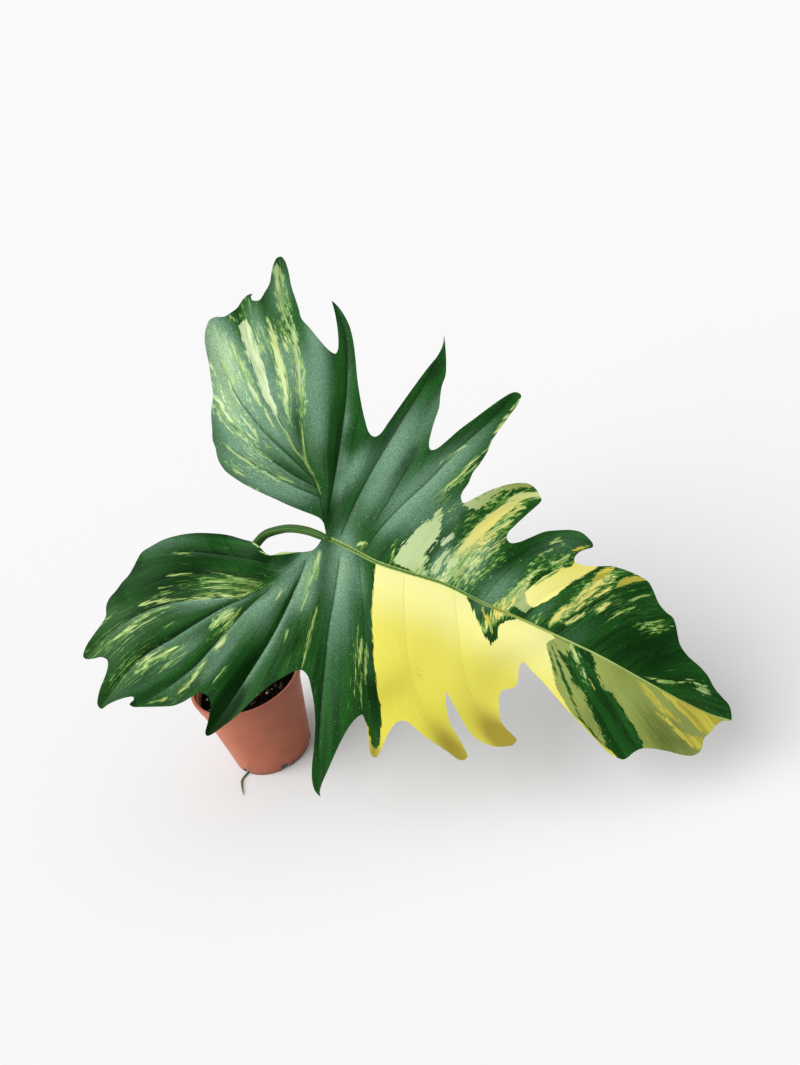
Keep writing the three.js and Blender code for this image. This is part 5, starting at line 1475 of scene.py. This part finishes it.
    # A patch is ragged at its border, and straight where it ends at the midrib
    reach = add_node(material, "ShaderNodeMapRange", {
        "Value": number["midrib"], "From Min": 1.0, "From Max": 9.0})
    colour = green
    for patch, paint, noise, swing in (
            ("sage", sage, spongy, 16.0), ("cream", cream, fine, 9.0), ("yellow", yellow, fine, 6.0),
            ("gold", gold, fine, 9.0), ("green", green, fine, 9.0)):
        depth = ragged_depth(material, number[patch + "_patch"], noise, swing, -swing / 2, reach)
        colour = paint_coats(material, colour, (paint, depth, -0.4, 0.4))

    # A pale streak is a core with a border of threads
    threads = paint_coats(material, "#567a3c", ("#849b66", hair, 0.4, 0.6))
    depth = ragged_depth(material, number["mottled_streak"], spongy, 26.0, -14.5)
    colour = paint_coats(material, colour, (threads, depth, -1.0, 2.0))
    for streak, paint, edging in (
            ("lime", lime, None), ("cream", cream, threads), ("straw", straw, lime), ("gold", gold, None),
            ("green", green, None)):
        if edging:
            depth = ragged_depth(material, number[streak + "_streak"], fine, 13.0, -5.6)
            colour = paint_coats(material, colour, (edging, depth, -0.6, 1.0))
        depth = ragged_depth(material, number[streak + "_streak"], fine, 8.0, -4.2)
        colour = paint_coats(material, colour, (paint, depth, -0.7, 0.7))

    rib_green = paint_coats(material, "#7f9050", ("#8a8a38", number["butter"], 0.2, 1.0))
    colour = paint_coats(
        material, colour, (straw, number["plain_streak"], -0.5, 0.5), ("#70622a", mark["speck"], 0.82, 0.87),
        (rib_green, rib, 2.5, 1.5), ("#35561f", number["midrib_groove"], 0.1, 0.9))
    # The lower face is paler, over the same colours with their painted sheen and shade
    if not is_upper:
        colour = add_node(material, "ShaderNodeMix", {0: 0.35, 6: colour, 7: hex_colour("#6c8653")},
                          data_type="RGBA")
    gloss = add_node(material, "ShaderNodeMapRange", {
        "Value": grain, "To Min": 0.38 if is_upper else 0.66, "To Max": 0.52 if is_upper else 0.8})
    sheen = add_node(material, "ShaderNodeMapRange", {"Value": shade, "To Min": 0.1, "To Max": 0.02})
    return finish_shader(
        material, {"Base Color": colour, "Roughness": gloss, "IOR": SKIN_IOR, "Specular IOR Level": sheen},
        mark["cells"], 0.12 * MM)


def pot_material():
    """Injection-moulded polypropylene in terracotta: satin, slightly uneven, stained by mix near its base."""
    material = new_material("moulded_terracotta_polypropylene")
    cloudy, fine = object_noise(material, 18 * MM), object_noise(material, 1.5 * MM)
    places = add_node(material, "ShaderNodeTexCoord").outputs["Object"]
    height = add_node(material, "ShaderNodeSeparateXYZ", {"Vector": places}).outputs["Z"]
    stain = add_node(material, "ShaderNodeMath", {0: fine, 1: 50 * MM, 2: height}, operation="MULTIPLY_ADD")
    colour = paint_coats(material, "#8b482e", ("#955034", cloudy, 0.3, 0.7), ("#6c3824", fine, 0.62, 0.8),
                         ("#4d2c1c", stain, 30 * MM, 22 * MM))
    gloss = add_node(material, "ShaderNodeMapRange", {"Value": cloudy, "To Min": 0.4, "To Max": 0.58})
    return finish_shader(material, {"Base Color": colour, "Roughness": gloss, "IOR": 1.49}, fine, 0.05 * MM)


def mix_material():
    """Coir and peat: nearly black, damp and darkened as painted shade, brown where it dries, without any
    shine.
    """
    material = new_material("damp_coir_and_peat_in_painted_shade")
    clods = object_noise(material, 5 * MM, 6.0, 0.7)
    grains = object_noise(material, 0.9 * MM, 4.0, 0.7)
    colour = paint_coats(material, "#030100", ("#0f0703", clods, 0.42, 0.68), ("#2b1b0c", grains, 0.68, 0.8))
    return finish_shader(material, {"Base Color": colour, "Roughness": 0.92, "Specular IOR Level": 0.04},
                         grains, 0.6 * MM)


def crumb_material():
    """Crumbs of the same mix, darkened as painted shade, some of them drier and lighter."""
    material = new_material("coir_crumbs")
    colour = paint_coats(material, "#050201", ("#170d06", object_noise(material, 3 * MM, 2.0), 0.4, 0.68))
    return finish_shader(material, {"Base Color": colour, "Roughness": 0.9, "Specular IOR Level": 0.04},
                         object_noise(material, 0.5 * MM), 0.2 * MM)


def bark_chip_material():
    """Pine bark chips: brown, with darker and lighter layers, dull."""
    material = new_material("pine_bark_chips")
    layers = object_noise(material, 2.2 * MM, 4.0, 0.65)
    colour = paint_coats(material, "#160b06", ("#3d2413", layers, 0.4, 0.66))
    return finish_shader(material, {"Base Color": colour, "Roughness": 0.85, "Specular IOR Level": 0.15},
                         layers, 0.3 * MM)


def perlite_material():
    """Perlite, a puffed volcanic glass: cream-white, pitted and dull, stained by the mix."""
    material = new_material("perlite")
    stain, pits = object_noise(material, 2.5 * MM), object_noise(material, 0.6 * MM)
    colour = paint_coats(material, "#b9ad90", ("#7c6a48", stain, 0.5, 0.68))
    return finish_shader(material, {"Base Color": colour, "Roughness": 0.95}, pits, 0.25 * MM)


def stem_material():
    """Green bark: soft, satin, with corky flecks and brown scars where leaves were."""
    material = new_material("green_bark")
    patches, cork = object_noise(material, 6 * MM), object_noise(material, 1.3 * MM, 4.0, 0.65)
    scar = add_node(material, "ShaderNodeAttribute", attribute_name="scar").outputs["Fac"]
    edge = add_node(material, "ShaderNodeMath", {0: cork, 1: 0.6, 2: scar}, operation="MULTIPLY_ADD")
    colour = paint_coats(material, "#3c4a20", ("#5d6a34", patches, 0.35, 0.65), ("#6a5232", cork, 0.6, 0.72),
                         ("#55402a", edge, 0.8, 1.2))
    return finish_shader(material, {"Base Color": colour, "Roughness": 0.55}, cork, 0.25 * MM)


def root_material(name, dark, light):
    """Root skin: dull, with lighter lengthwise cracks."""
    material = new_material(name)
    cracks = fibre_noise(material, 14, 6 * MM)
    colour = paint_coats(material, dark, (light, cracks, 0.38, 0.64))
    return finish_shader(material, {"Base Color": colour, "Roughness": 0.75}, cracks, 0.2 * MM)


def stalk_material(name, dark, light):
    """Smooth skin of a stalk: satin, with light and dark lines that run its whole length."""
    material = new_material(name)
    stripes, fine = fibre_noise(material, 16, 160 * MM), fibre_noise(material, 44, 30 * MM)
    colour = paint_coats(material, dark, (light, stripes, 0.36, 0.62), ("#506630", fine, 0.6, 0.76))
    return finish_shader(
        material, {"Base Color": colour, "Roughness": 0.42, "IOR": SKIN_IOR, "Specular IOR Level": 0.12},
        fine, 0.1 * MM)


def paper_material():
    """Matt paper, of a share of white at which the lit floor is as bright as the surroundings."""
    grey = (PAPER_SHARE, PAPER_SHARE, PAPER_SHARE, 1)
    return finish_shader(new_material("matt_paper"), {
        "Base Color": grey, "Roughness": 1.0, "Specular IOR Level": 0.0})


# Studio

def make_camera():
    """The camera stands where the photograph was taken."""
    data = bpy.data.cameras.new("camera")
    data.sensor_width = SENSOR
    data.lens = PICTURE_FOCAL * SENSOR / max(PICTURE_SIZE)
    data.clip_end = 50
    camera = bpy.data.objects.new("camera", data)
    bpy.context.scene.collection.objects.link(camera)
    turn = Matrix((VIEW_RIGHT, VIEW_UP, -LEVEL_FORWARD)).transposed().to_4x4()
    camera.matrix_world = Matrix.Translation(Vector(EYE)) @ turn
    bpy.context.scene.camera = camera


def add_lamp(name, direction, strength, spread):
    """A far lamp, soft over an angle, whose light comes from one direction."""
    data = bpy.data.lights.new(name, "SUN")
    data.energy = strength
    data.angle = math.radians(spread)
    lamp = bpy.data.objects.new(name, data)
    bpy.context.scene.collection.objects.link(lamp)
    lamp.location = direction
    lamp.rotation_euler = Vector(direction).to_track_quat("Z", "Y").to_euler()


def make_studio():
    """A pale floor, white surroundings and soft light from the upper left."""
    deselect_all()
    bpy.ops.mesh.primitive_plane_add(size=FLOOR_SIZE)
    floor = bpy.context.object
    floor.name = "floor"
    floor.data.materials.append(paper_material())
    world = bpy.data.worlds.new("world")
    world.use_nodes = True
    background = world.node_tree.nodes["Background"]
    background.inputs["Color"].default_value = hex_colour("#ffffff")
    background.inputs["Strength"].default_value = WORLD_STRENGTH
    bpy.context.scene.world = world
    key_strength = math.pi * WORLD_STRENGTH * (1 / PAPER_SHARE - 1) / Vector(KEY_DIRECTION).normalized().z
    add_lamp("key_light", KEY_DIRECTION, key_strength, KEY_SPREAD)
    bpy.context.scene.view_settings.view_transform = "Standard"


make_camera()
make_studio()
make_pot()
make_potting_mix()
make_stem()
make_growing_tip()
make_stalk()
make_drain_root()
make_blade()
